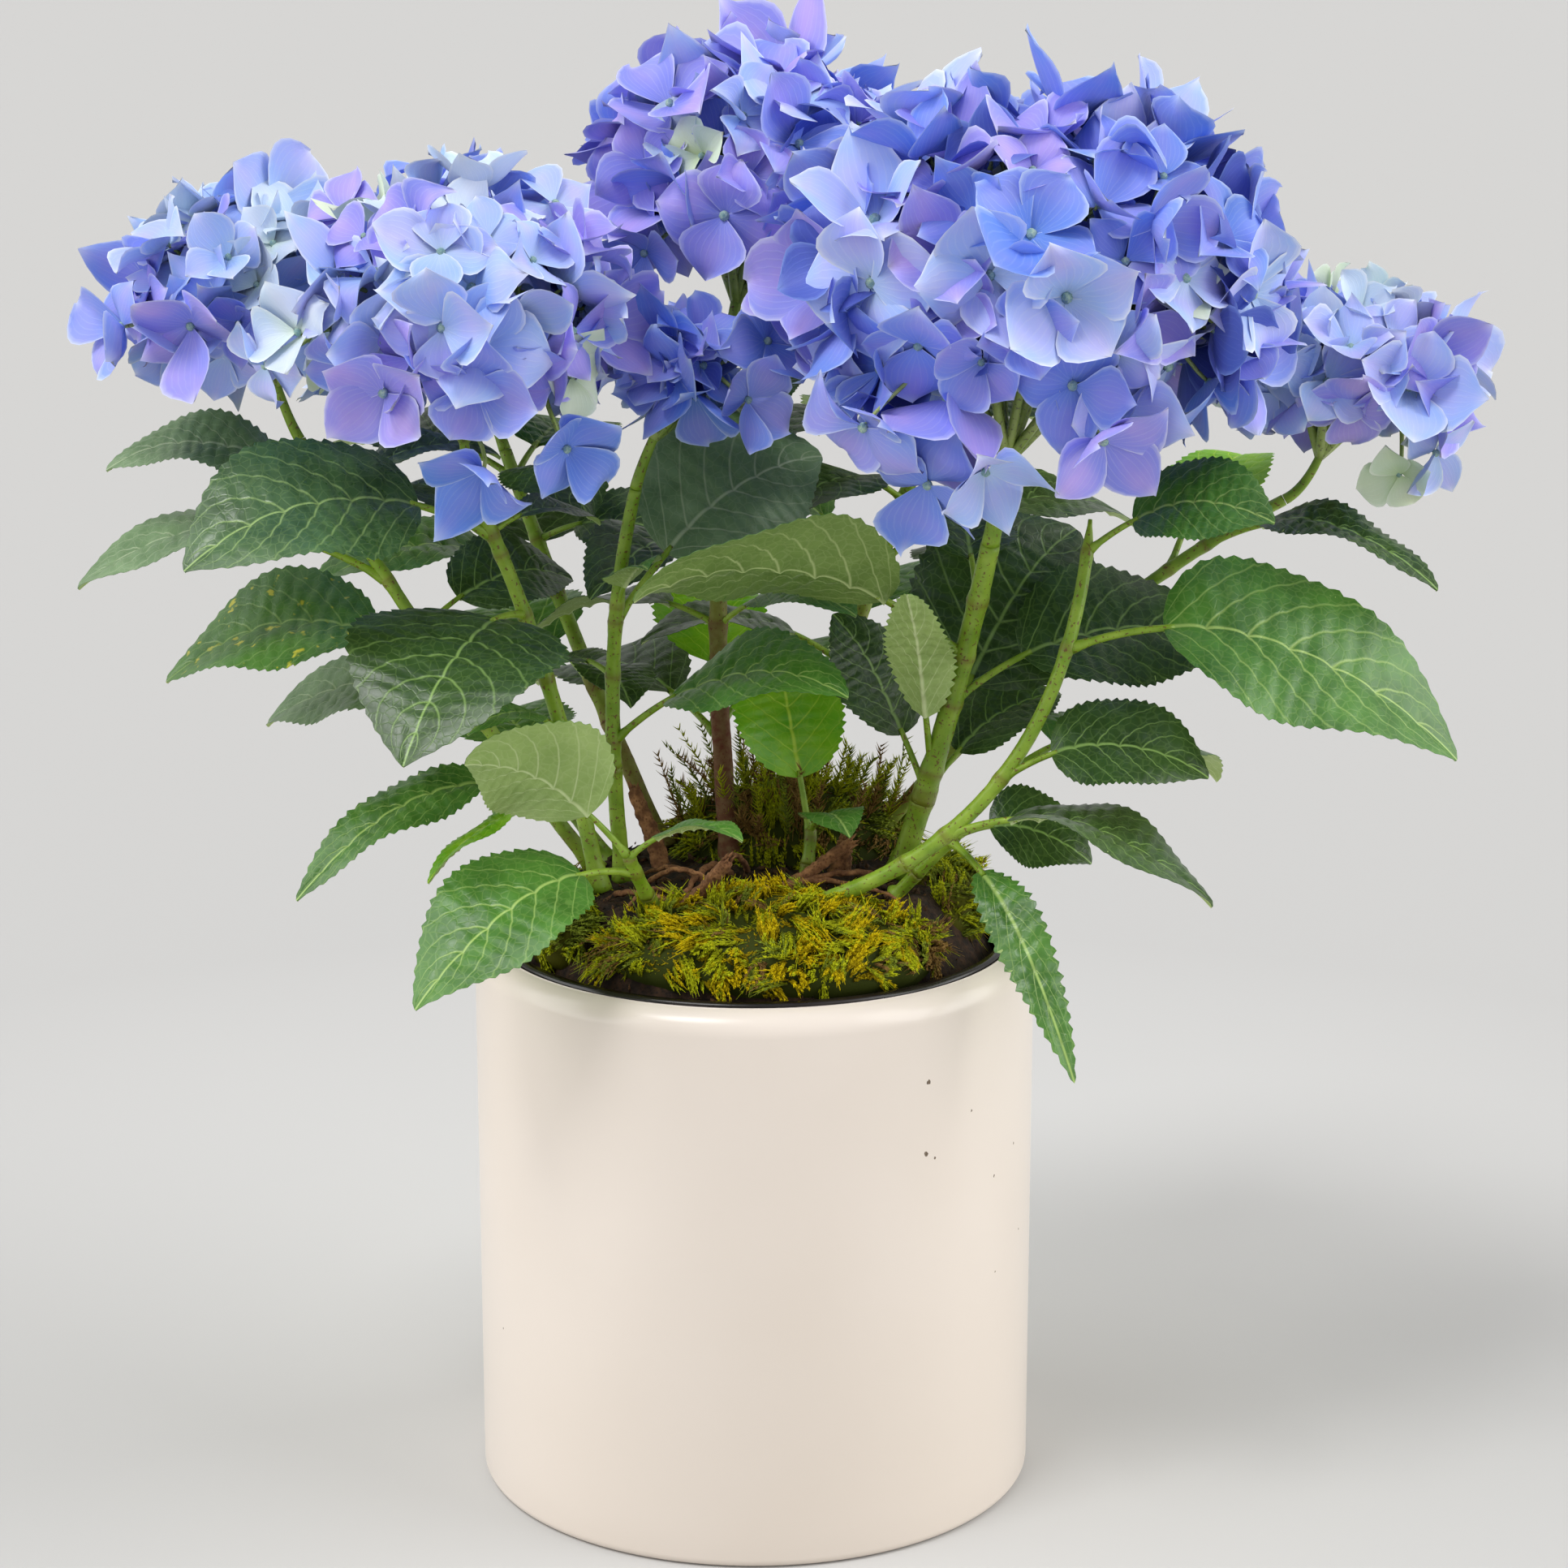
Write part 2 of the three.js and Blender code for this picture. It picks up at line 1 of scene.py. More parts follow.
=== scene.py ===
# A mophead hydrangea in a cream pot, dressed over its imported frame.
# Tables are in millimetres and degrees; meshes are made in metres.
import math

import bpy
import numpy as np
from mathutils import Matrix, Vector, noise


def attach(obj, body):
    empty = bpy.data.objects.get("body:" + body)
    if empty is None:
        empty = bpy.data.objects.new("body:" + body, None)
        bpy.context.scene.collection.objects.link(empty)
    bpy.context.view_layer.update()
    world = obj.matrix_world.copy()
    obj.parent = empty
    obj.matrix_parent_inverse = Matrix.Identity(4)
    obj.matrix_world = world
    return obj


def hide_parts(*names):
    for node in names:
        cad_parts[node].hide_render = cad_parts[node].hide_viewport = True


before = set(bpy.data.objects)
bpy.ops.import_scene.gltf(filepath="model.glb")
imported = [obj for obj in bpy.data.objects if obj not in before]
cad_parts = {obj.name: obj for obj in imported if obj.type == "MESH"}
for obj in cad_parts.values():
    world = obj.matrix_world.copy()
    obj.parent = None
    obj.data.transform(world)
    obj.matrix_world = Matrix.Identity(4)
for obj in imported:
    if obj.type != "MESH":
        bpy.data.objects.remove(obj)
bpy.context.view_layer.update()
print("frame loaded:", len(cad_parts), "nodes")

millimetre = 0.001
clearance = 0.3  # between pieces that touch

# Camera

viewpoint = {"place": (9.5, -1148, 509), "pitch": 13.7, "lens": 84.9, "sensor": 36}

cameraData = bpy.data.cameras.new("camera")
cameraData.lens = viewpoint["lens"]
cameraData.sensor_width = viewpoint["sensor"]
camera = bpy.data.objects.new("camera", cameraData)
camera.location = Vector(viewpoint["place"]) * millimetre
camera.rotation_euler = (math.radians(90 - viewpoint["pitch"]), 0, 0)
bpy.context.collection.objects.link(camera)
bpy.context.scene.camera = camera


# Finishes


class Link:  # an output socket; arithmetic on it adds Math nodes
    def __init__(self, finish, socket):
        self.finish, self.socket = finish, socket

    def reckon(self, operation, *values):
        return self.finish.node("ShaderNodeMath", {"operation": operation}, dict(enumerate(values)))

    def __add__(self, other):
        return self.reckon("ADD", self, other)

    __radd__ = __add__

    def __sub__(self, other):
        return self.reckon("SUBTRACT", self, other)

    def __rsub__(self, other):
        return self.reckon("SUBTRACT", other, self)

    def __mul__(self, other):
        return self.reckon("MULTIPLY", self, other)

    __rmul__ = __mul__

    def __pow__(self, other):
        return self.reckon("POWER", self, other)

    def __abs__(self):
        return self.reckon("ABSOLUTE", self)

    def fraction(self):
        return self.reckon("FRACT", self)

    def most(self, other):
        return self.reckon("MAXIMUM", self, other)

    def kept(self, low=0.0, high=1.0):  # low becomes 0 and high 1, cut off beyond them
        return self.finish.node(
            "ShaderNodeMapRange", {}, {"Value": self, "From Min": low, "From Max": high})


def tint(code):  # a screen colour, as the shader wants it
    parts = [int(code[i:i + 2], 16) / 255 for i in (0, 2, 4)]
    linear = [p / 12.92 if p <= 0.04045 else ((p + 0.055) / 1.055) ** 2.4 for p in parts]
    return (*linear, 1)


class Finish:  # a material with its nodes
    def __init__(self, name, **fixed):
        self.material = bpy.data.materials.new(name)
        self.material.use_nodes = True
        self.tree = self.material.node_tree
        self.shader = self.tree.nodes["Principled BSDF"]
        for socket, value in fixed.items():
            self.shader.inputs[socket.replace("_", " ")].default_value = value

    def node(self, kind, settings, inputs, output=0):
        made = self.tree.nodes.new(kind)
        for name, value in settings.items():
            setattr(made, name, value)
        for name, value in inputs.items():
            if isinstance(value, Link):
                self.tree.links.new(value.socket, made.inputs[name])
            else:
                made.inputs[name].default_value = value
        return Link(self, made.outputs[output])

    def mix(self, mask, first, second):
        settings = {"data_type": "RGBA", "clamp_factor": True}
        return self.node("ShaderNodeMix", settings, {0: mask, 6: first, 7: second}, 2)

    def where(self):  # the point's place on the object
        return self.node("ShaderNodeTexCoord", {}, {}, 3)

    def parts(self, vector):
        return [self.node("ShaderNodeSeparateXYZ", {}, {0: vector}, i) for i in range(3)]

    def place(self):  # the three numbers that the mesh keeps at each point
        return self.parts(self.node("ShaderNodeAttribute", {"attribute_name": "place"}, {}, 1))

    def cloud(self, scale, detail=3.0):
        inputs = {"Vector": self.where(), "Scale": scale, "Detail": detail}
        return self.node("ShaderNodeTexNoise", {}, inputs)

    def cells(self, scale, feature="F1"):
        inputs = {"Vector": self.where(), "Scale": scale}
        return self.node("ShaderNodeTexVoronoi", {"feature": feature}, inputs)

    def feed(self, socket, value):
        self.tree.links.new(value.socket, self.shader.inputs[socket])

    def relief(self, height, strength, depth):
        inputs = {"Height": height, "Strength": strength, "Distance": depth * millimetre}
        self.feed("Normal", self.node("ShaderNodeBump", {}, inputs))


def glazeFinish(name, body, pool, foot):
    finish = Finish(name, Roughness=0.34, Coat_Weight=0.25, Coat_Roughness=0.18)
    drift = finish.cloud(9, 2).kept(0.35, 0.7)
    height = finish.parts(finish.where())[2]
    glaze = finish.mix(drift, tint(body), tint(pool))
    # Painted shade: the glaze is mixed towards the darker foot tone over its lowest 110 mm.
    low = (1 - height.kept(0.0, 0.11)) * 0.4
    finish.feed("Base Color", finish.mix(low, glaze, tint(foot)))
    finish.feed("Roughness", finish.cloud(60) * 0.1 + 0.27)
    finish.relief(finish.cloud(140, 2) + finish.cloud(900, 1) * 0.15, 0.12, 0.4)
    return finish.material


def plasticFinish(name, body, dust):
    finish = Finish(name, Roughness=0.3)
    film = finish.cloud(35, 6).kept(0.45, 0.8)
    finish.feed("Base Color", finish.mix(film * 0.5, tint(body), tint(dust)))
    finish.feed("Roughness", film * 0.3 + 0.2)
    finish.relief(finish.cloud(500, 2), 0.15, 0.2)
    return finish.material


def crumbFinish(name, dark, light, scale=260):
    finish = Finish(name, Roughness=0.95)
    patches = finish.cloud(scale, 6).kept(0.35, 0.7)
    specks = finish.cells(scale * 3).kept(0.1, 0.5)
    finish.feed("Base Color", finish.mix(patches * specks, tint(dark), tint(light)))
    finish.relief(finish.cloud(scale * 2, 6), 0.8, 0.8)
    return finish.material


def strandFinish(name, body, tip):
    finish = Finish(name, Roughness=0.7, Specular_IOR_Level=0.15)
    _, along, share = finish.place()
    lit = finish.mix(along * 0.8, tint(body), tint(tip))
    finish.feed("Base Color", finish.mix(share * 0.35, lit, tint(tip)))
    finish.relief(finish.cloud(1500, 1), 0.3, 0.2)
    return finish.material


def barkFinish(name, green, pale, brown, joint):
    finish = Finish(name, Roughness=0.5)
    _, woody, near = finish.place()
    streak = finish.cloud(140, 4).kept(0.35, 0.7)
    young = finish.mix(streak, tint(green), tint(pale))
    old = finish.mix(finish.cloud(420, 5).kept(0.35, 0.7), tint(brown), tint(joint))
    patchy = (woody * 1.7 - 0.5 + finish.cloud(120, 4) * 0.5).kept(0.2, 0.8)
    body = finish.mix(patchy, young, old)
    pore = finish.cloud(900, 1).kept(0.63, 0.68) * 0.75
    body = finish.mix(pore, body, tint(joint))
    finish.feed("Base Color", finish.mix(near ** 3 * 0.5, body, tint(joint)))
    finish.feed("Roughness", patchy * 0.4 + 0.42)
    finish.relief(finish.cloud(700, 4) + pore, 0.35, 0.4)
    return finish.material


veinForm = {"pairs": 7, "sweep": 0.32, "bend": 1.25}  # the side veins of a leaf


def leafFinish(name, body, shade, vein, veinShare, gloss, spots=None):
    finish = Finish(name, Roughness=gloss, Coat_Weight=0.12, Coat_Roughness=0.3)
    across, along, offset = finish.place()
    wide = abs(across)
    run = (along - wide ** veinForm["bend"] * veinForm["sweep"]) * veinForm["pairs"]
    closeness = abs(run.fraction() - 0.5) * 2
    branch = closeness.kept(0.87, 0.98) * (1 - wide * 0.55)
    middle = 1 - (abs(offset) * (along * 1.6 + 1.0)).kept(0.35, 1.2)
    net = 1 - finish.cells(330, "DISTANCE_TO_EDGE").kept(0.0, 0.1)
    veins = middle.most(branch * 0.8).most(net * 0.16)
    patches = finish.cloud(75, 4).kept(0.3, 0.7)
    flesh = finish.mix(patches, tint(body), tint(shade))
    if spots:
        rash = finish.cloud(210, 2).kept(0.64, 0.7)
        flesh = finish.mix(rash, flesh, tint(spots))
    finish.feed("Base Color", finish.mix(veins * veinShare, flesh, tint(vein)))
    finish.feed("Roughness", finish.cloud(300, 2) * 0.2 + (gloss - 0.1))
    finish.relief(finish.cloud(420, 3) * 0.7 - net * 0.3 - branch * 0.6, 0.32, 0.4)
    return finish.material


def petalFinish(name, body, flush, light, heart):
    finish = Finish(name, Roughness=0.55, Sheen_Weight=0.12)
    across, along, share = finish.place()
    wide = abs(across)
    # Painted highlight: rim lightens the edges and tip of each sepal towards the light tone.
    rim = wide.most(along).kept(0.8, 1.0) ** 2
    core = 1 - along.kept(0.06, 0.42)
    grain = finish.cloud(48, 3).kept(0.38, 0.62)
    blush = (1 - wide) * along.kept(0.1, 0.6)
    rays = abs((wide * 5.5 - along * 1.5).fraction() - 0.5).kept(0.34, 0.5)
    rays = rays * (1 - along * 0.7)
    colour = finish.mix(grain * 0.55 + blush * 0.4 + share * 0.15, tint(body), tint(flush))
    colour = finish.mix(core * 0.5, colour, tint(heart))
    colour = finish.mix(rays * 0.2, colour, tint(light))
    colour = finish.mix(rim * 0.85, colour, tint(light))
    finish.feed("Base Color", colour)
    finish.relief(rays + finish.cloud(900, 2) * 0.5, 0.18, 0.3)
    return finish.material


finishes = {
    # The last glaze tone is painted shade for the bottom of the pot.
    "glaze": glazeFinish("cream_glaze", "ece1d6", "e6dacd", "d2c6b9"),
    "speck": crumbFinish("glaze_fleck", "6f6152", "94836f", 900),
    "liner": plasticFinish("dark_liner", "140f0d", "3a2f28"),
    "soil": crumbFinish("potting_soil", "1b110b", "4a3220"),
    "chip": crumbFinish("bark_chip", "35210f", "7a5433", 400),
    "deadWood": crumbFinish("dry_wood", "6c462c", "b88458", 300),
    "stem": barkFinish("green_cane", "769a1c", "9cba3c", "7e6040", "6a3420"),
    "stalk": barkFinish("flower_stalk", "8fa84a", "b9c878", "7c7a4a", "6c6a4c"),
    "mossGold": strandFinish("gold_moss", "5a4402", "fee40a"),
    "mossLime": strandFinish("lime_moss", "4c4c08", "e2ea20"),
    "mossGreen": strandFinish("green_moss", "3a4212", "a8b83a"),
    "mossBrown": strandFinish("brown_moss", "4a3218", "b08c4c"),
    "leafDark": leafFinish("dark_leaf", "274216", "3a5a24", "98bc66", 0.8, 0.34),
    # Painted sheen: a greyer, lighter green that stands for the shine on a glossy leaf.
    "leafSheen": leafFinish("painted_sheen_leaf", "35562a", "4c7040", "a8c878", 0.85, 0.3),
    "leafMiddle": leafFinish("green_leaf", "38671f", "528730", "aecc70", 0.85, 0.36),
    # Painted light: a lighter yellow-green that stands for light shining through the leaf from
    # behind.
    "leafBright": leafFinish("painted_backlight_leaf", "5eaa08", "8cc610", "cce84c", 0.8, 0.4),
    "leafGrey": leafFinish("grey_leaf", "5c7c4e", "7c9a6c", "bccca4", 0.7, 0.4),
    "leafSpotted": leafFinish("spotted_leaf", "41702a", "5a8a38", "a2c070", 0.7, 0.36, "c8c23a"),
    "leafOlive": leafFinish("olive_leaf", "3f6e26", "5c9038", "b8d47c", 0.85, 0.36),
    "leafUnderOlive": leafFinish("olive_underside", "6f8c42", "86a254", "d0e09c", 0.9, 0.55),
    "leafUnder": leafFinish("leaf_underside", "94b060", "aac474", "dceab0", 0.85, 0.6),
    "petalViolet": petalFinish("violet_petal", "8494f2", "baa4f2", "e2e4fe", "868ce6"),
    "petalPeriwinkle": petalFinish("periwinkle_petal", "80a4f8", "a8a0f2", "dce6fe", "7c9aec"),
    "petalBlue": petalFinish("blue_petal", "6292ec", "8f96ee", "cfe0fc", "628ee4"),
    "petalSky": petalFinish("sky_petal", "a2c8fe", "c4c4fe", "f2f6fe", "c2e0f2"),
    "petalPale": petalFinish("pale_petal", "c8e0f8", "dce6f8", "f4fafc", "d6eab8"),
    "petalYoung": petalFinish("young_petal", "dcf0d2", "e6f2d0", "f6fcec", "bcd888"),
    # Painted shade: a darker blue for florets lying deep among the others.
    "petalDeep": petalFinish("painted_shade_petal", "4460c0", "5c68c8", "86a0e4", "384e9c"),
    "bead": crumbFinish("flower_eye", "7fa6a8", "c4dcc0", 700),
}
print("finishes made:", len(finishes))

# Mesh making


def gridFaces(rows, columns, wrap=False):  # quads of a grid of points, row by row
    across = columns if wrap else columns - 1
    row, column = np.meshgrid(np.arange(rows - 1), np.arange(across), indexing="ij")
    beside = (column + 1) % columns
    corners = [row * columns + column, row * columns + beside,
               (row + 1) * columns + beside, (row + 1) * columns + column]
    return np.stack(corners, -1).reshape(-1, 4)


def copiesOf(faces, size, count):  # the same faces for each copy of a block of points
    shifts = np.arange(count)[:, None, None] * size
    return (faces[None] + shifts).reshape(-1, faces.shape[1])


# A part is (points, [face arrays], finish name, place numbers or None).
def makePiece(name, parts, nodes):
    names = sorted({part[2] for part in parts})
    points, corners, starts, slots, places = [], [], [], [], []
    base = corner = 0
    for spots, faceSets, finish, place in parts:
        spots = np.asarray(spots, float).reshape(-1, 3)
        points.append(spots)
        places.append(np.zeros((len(spots), 3)) if place is None else np.reshape(place, (-1, 3)))
        for faces in faceSets:
            count, size = faces.shape
            corners.append((faces + base).ravel())
            starts.append(corner + np.arange(count) * size)
            slots.append(np.full(count, names.index(finish)))
            corner += count * size
        base += len(spots)
    points, corners = np.concatenate(points) * millimetre, np.concatenate(corners)
    starts, slots = np.concatenate(starts), np.concatenate(slots)
    mesh = bpy.data.meshes.new(name)
    mesh.vertices.add(len(points))
    mesh.vertices.foreach_set("co", points.astype(np.float32).ravel())
    mesh.loops.add(len(corners))
    mesh.loops.foreach_set("vertex_index", corners.astype(np.int32))
    mesh.polygons.add(len(starts))
    mesh.polygons.foreach_set("loop_start", starts.astype(np.int32))
    mesh.polygons.foreach_set("material_index", slots.astype(np.int32))
    mesh.update(calc_edges=True)
    mesh.shade_smooth()
    layer = mesh.attributes.new("place", "FLOAT_VECTOR", "POINT")
    layer.data.foreach_set("vector", np.concatenate(places).astype(np.float32).ravel())
    for finish in names:
        mesh.materials.append(finishes[finish])
    piece = bpy.data.objects.new(name, mesh)
    bpy.context.collection.objects.link(piece)
    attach(piece, "root")
    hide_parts(*nodes)
    print("piece", name, len(corners) - 2 * len(starts), "triangles")


innermost = 0.6  # a turned body's caps start this far from its axis


def turned(profile, sides):  # a body of revolution that is closed by flat caps
    profile = np.array(profile, float)
    angles = np.arange(sides) * 2 * np.pi / sides
    ring = np.stack([np.cos(angles), np.sin(angles), np.zeros(sides)], -1)
    points = profile[:, None, :1] * ring + profile[:, None, 1:] * np.array([0, 0, 1])
    last = (len(profile) - 1) * sides
    caps = np.array([np.arange(sides)[::-1], last + np.arange(sides)])
    return points.reshape(-1, 3), [gridFaces(len(profile), sides, True), caps]


def arc(radius, height, size, start, end, steps):
    angles = np.radians(np.linspace(start, end, steps + 1))
    return [(radius + size * math.cos(a), height + size * math.sin(a)) for a in angles]


def unit(vectors):
    return vectors / np.maximum(np.linalg.norm(vectors, axis=-1, keepdims=True), 1e-9)


def bezier(points, t):
    start, bend, end = [np.asarray(p, float) for p in points]
    t = np.asarray(t, float)[..., None]
    return start * (1 - t) ** 2 + bend * 2 * t * (1 - t) + end * t * t


def bezierAlong(points, t):
    start, bend, end = [np.asarray(p, float) for p in points]
    t = np.asarray(t, float)[..., None]
    return unit((bend - start) * (1 - t) + (end - bend) * t)


# Rings of points round a line; sizes are one for each ring, or one for each point.
def tube(line, sizes, sides, finish, place=None):
    line = np.asarray(line, float)
    along = unit(np.gradient(line, axis=0))
    chord = unit(line[-1] - line[0])
    level = np.array([0, 1, 0] if abs(chord[2]) > 0.6 else [0, 0, 1.0])
    side = unit(np.cross(level, along))
    other = np.cross(along, side)
    angles = np.arange(sides) * 2 * np.pi / sides
    sizes = np.broadcast_to(np.reshape(sizes, (len(line), -1)), (len(line), sides))
    cosines, sines = np.cos(angles)[None, :, None], np.sin(angles)[None, :, None]
    ring = cosines * side[:, None] + sines * other[:, None]
    points = line[:, None] + ring * sizes[..., None]
    last = (len(line) - 1) * sides
    caps = np.array([np.arange(sides)[::-1], last + np.arange(sides)])
    numbers = None
    if place is not None:
        numbers = np.zeros((len(line), sides, 3))
        numbers[..., 0] = angles / (2 * np.pi)
        numbers[..., 1:] = np.reshape(place, (len(line), 1, 2))
    return points.reshape(-1, 3), [gridFaces(len(line), sides, True), caps], finish, numbers


# Many thin three-sided strands that taper to a point, as one part.
def needles(roots, directions, bends, lengths, widths, finish, dice, steps=3):
    count = len(roots)
    t = np.linspace(0, 1, steps + 1)[None, :, None]
    lengths, widths = np.reshape(lengths, (-1, 1, 1)), np.reshape(widths, (-1, 1, 1))
    line = roots[:, None] + directions[:, None] * lengths * t + bends[:, None] * lengths * t * t
    across = unit(np.cross(directions, dice.normal(size=(count, 3))))
    other = np.cross(directions, across)
    taper = widths * (1 - t * 0.9)
    rings = []
    for angle in np.radians([0, 120, 240]):
        spoke = math.cos(angle) * across + math.sin(angle) * other
        rings.append(line + spoke[:, None] * taper)
    points = np.stack(rings, 2)
    numbers = np.zeros(points.shape)
    numbers[..., 1] = t
    numbers[..., 2] = dice.random((count, 1, 1))
    faces = copiesOf(gridFaces(steps + 1, 3, True), (steps + 1) * 3, count)
    return points.reshape(-1, 3), [faces], finish, numbers


# Many pointed leaflets of four corners; shares tell how far along its frond each one is.
def spikes(roots, tips, widths, shares, finish, dice):
    count = len(roots)
    way = unit(tips - roots)
    across = unit(np.cross(way, dice.normal(size=(count, 3))))
    other = np.cross(way, across)
    aside, above = across * widths[:, None], other * widths[:, None] * 0.6
    points = np.stack([roots + aside, roots - aside + above, roots - aside - above, tips], 1)
    numbers = np.zeros(points.shape)
    numbers[..., 1] = shares[:, None]
    numbers[:, 3, 1] += 0.35
    numbers[..., 2] = dice.random((count, 1))
    block = np.array([[0, 1, 3], [1, 2, 3], [2, 0, 3], [2, 1, 0]])
    return points.reshape(-1, 3), [copiesOf(block, 4, count)], finish, numbers


# Pot and liner

potForm = {"radius": 90, "height": 180, "opening": 82.8, "lip": 8, "foot": 3, "floor": 7,
           "sides": 160}
fleckForm = {"sides": 9, "spread": (0.7, 0.6), "sunk": 0.02, "proud": 0.14}
flecks = [  # angle from the front towards +X, height, size
    (36.6, 153, 0.9), (48.7, 139.5, 0.45), (36.1, 130, 1.0), (38.4, 128, 0.55), (66, 121, 0.5),
    (57, 114.5, 0.5), (70, 90, 0.4), (58, 82, 0.4), (-63, 60, 0.4), (150, 96, 0.7), (214, 132, 0.5),
]


def makePot():
    form = potForm
    inner, top = form["opening"], form["height"]
    profile = [(innermost, 0), (form["radius"] * 0.6, 0)]
    profile += arc(form["radius"] - form["foot"], form["foot"], form["foot"], -90, 0, 8)
    profile += [(form["radius"], height) for height in np.linspace(14, top - 30, 12)]
    profile += arc(form["radius"] - form["lip"], top - form["lip"], form["lip"], 0, 82, 12)
    profile += [(inner + 0.5, top), (inner, top - 0.5), (inner, 120), (inner, form["floor"])]
    profile += [(innermost, form["floor"])]
    points, faces = turned(profile, form["sides"])
    makePiece("cream_pot", [(points, faces, "glaze", None)], ["cover_pot"])


def makeFlecks():  # low cones of dark grit in the glaze
    form, radius = fleckForm, potForm["radius"]
    dice = np.random.default_rng(21)
    sides, rise = form["sides"], np.array([0, 0, 1.0])
    angles = np.arange(sides) * 2 * np.pi / sides
    fan = np.array([[i, (i + 1) % sides, sides] for i in range(sides)])
    parts = []
    for turn, height, size in flecks:
        turn = math.radians(turn)
        middle = np.array([math.sin(turn), -math.cos(turn), 0])
        side = np.array([math.cos(turn), math.sin(turn), 0])
        spread = size * (form["spread"][0] + dice.random(sides) * form["spread"][1])
        flat = np.cos(angles)[:, None] * side * 0.8 + np.sin(angles)[:, None] * rise
        rim = middle * radius + rise * height + flat * spread[:, None]
        rim[:, :2] *= ((radius - form["sunk"]) / np.linalg.norm(rim[:, :2], axis=1))[:, None]
        peak = middle * (radius + form["proud"]) + rise * height
        parts.append((np.vstack([rim, peak]), [fan], "speck", None))
    makePiece("glaze_flecks", parts, [])


linerForm = {"rim": 82.5, "rimHeight": 6, "rimWidth": 3.4, "top": 181, "foot": 62, "wall": 1.3,
             "rounding": 0.8, "sides": 160}
linerFloor = potForm["floor"] + clearance
linerInner = linerForm["rim"] - linerForm["rimWidth"]


def makeLiner():
    form = linerForm
    edge, shoulder, top = form["rounding"], form["top"] - form["rimHeight"], form["top"]
    profile = [(innermost, linerFloor), (form["foot"], linerFloor)]
    profile += [(linerInner + edge, shoulder)]
    profile += [(form["rim"] - edge, shoulder), (form["rim"], shoulder + edge)]
    profile += arc(form["rim"] - edge * 1.6, top - edge * 1.6, edge * 1.6, 0, 90, 5)
    profile += arc(linerInner + edge, top - edge, edge, 90, 180, 4)
    floor = linerFloor + form["wall"]
    profile += [(linerInner - edge, shoulder), (form["foot"] - form["wall"], floor)]
    profile += [(innermost, floor)]
    points, faces = turned(profile, form["sides"])
    makePiece("dark_liner", [(points, faces, "liner", None)], ["grow_pot"])


makePot()
makeFlecks()
makeLiner()

# Soil, chips and dry wood

soilForm = {"flat": 58, "level": 198, "edge": 172, "fromRim": 1.3, "swell": 6, "sides": 150,
            "rings": 46, "rough": 1.5}
chipForm = {"count": 900, "reach": 74, "size": (0.6, 2.2), "shape": (1, 0.55, 0.35)}


def soilHeight(x, y):  # the solid soil's level under a point
    form = soilForm
    slope = (np.hypot(x, y) - form["flat"]) / (linerInner - form["fromRim"] - form["flat"])
    fall = np.clip(slope, 0, 1) * (form["level"] - form["edge"])
    return form["level"] - fall + np.clip(slope * (1 - slope), 0, 1) * form["swell"]


def makeSoil():
    form = soilForm
    bottom = linerFloor + linerForm["wall"] + clearance
    inner = linerForm["foot"] - linerForm["wall"] - clearance * 1.5
    edge = linerInner - linerForm["rounding"] - clearance * 1.5
    hidden = [(innermost, bottom), (inner, bottom), (edge - 0.4, form["edge"] - 8)]
    away = np.linspace(edge - 0.2, 0.8, form["rings"])
    points, faces = turned(hidden + list(zip(away, soilHeight(away, 0))), form["sides"])
    for index in range(len(hidden) * form["sides"], len(points)):
        spot = Vector(points[index])
        lump = noise.fractal(spot * 0.16, 0.8, 2.0, 4) + 0.5 * noise.noise(spot * 0.7)
        points[index, 2] += lump * form["rough"]
    makePiece("soil_heap", [(points, faces, "soil", None), *chipParts()], ["root_ball"])


def chipParts():  # rough eight-sided crumbs that lie on the soil
    form = chipForm
    dice = np.random.default_rng(5)
    block = np.array([[1, 0, 0], [0, 1, 0], [-1, 0, 0], [0, -1, 0], [0, 0, 1], [0, 0, -1.0]])
    upper = [[i, (i + 1) % 4, 4] for i in range(4)]
    faces = np.array(upper + [[second, first, 5] for first, second, _ in upper])
    least, more = form["size"]
    parts = []
    for index in range(form["count"]):
        far = form["reach"] * math.sqrt(dice.random())
        turn = dice.random() * 2 * math.pi
        x, y = far * math.cos(turn), far * math.sin(turn)
        size = (least + more * dice.random() ** 3) * np.array(form["shape"])
        spin = np.linalg.qr(dice.normal(size=(3, 3)))[0]
        centre = np.array([x, y, soilHeight(x, y) + 0.5 + dice.random()])
        chip = (block * (0.7 + dice.random((6, 1)) * 0.6) * size) @ spin.T + centre
        parts.append((chip, [faces], "chip" if index % 3 else "soil", None))
    return parts


stubForm = {"steps": 26, "sides": 14, "splinters": 5, "sunk": 1.5}
twigForm = {"steps": 18, "sides": 7, "knobbly": 0.22}
stubs = [  # foot, lean of the tip, radius
    ((-22, -34), (15, -14, 20), 2.6), ((6, -18), (26, 6, 17), 2.2),
    ((-30, 14), (-9, 8, 26), 3.0), ((26, 2), (4, -2, 14), 3.4),
]
fallenTwigs = [  # both ends on the soil, how far the middle stands up, and radius
    ((-44, -22), (-20, -44), 3, 1.1), ((-4, -30), (34, -12), 4, 1.5),
    ((-12, -20), (-36, 2), 5, 1.2),
    ((2, -12), (-16, -34), 2, 0.9), ((12, -28), (30, -36), 3, 0.8), ((-8, 2), (-22, -24), 6, 1.6),
    ((18, -14), (2, -32), 3, 0.7), ((40, -10), (24, -30), 2, 0.9), ((-50, 4), (-34, -16), 3, 0.8),
    ((-34, -8), (-8, -28), 7, 1.0), ((44, -4), (6, -26), 5, 1.2), ((-2, 6), (-14, -22), 9, 1.1),
    ((28, -20), (50, -34), 4, 0.8), ((-26, -22), (-40, -40), 4, 0.9),
]


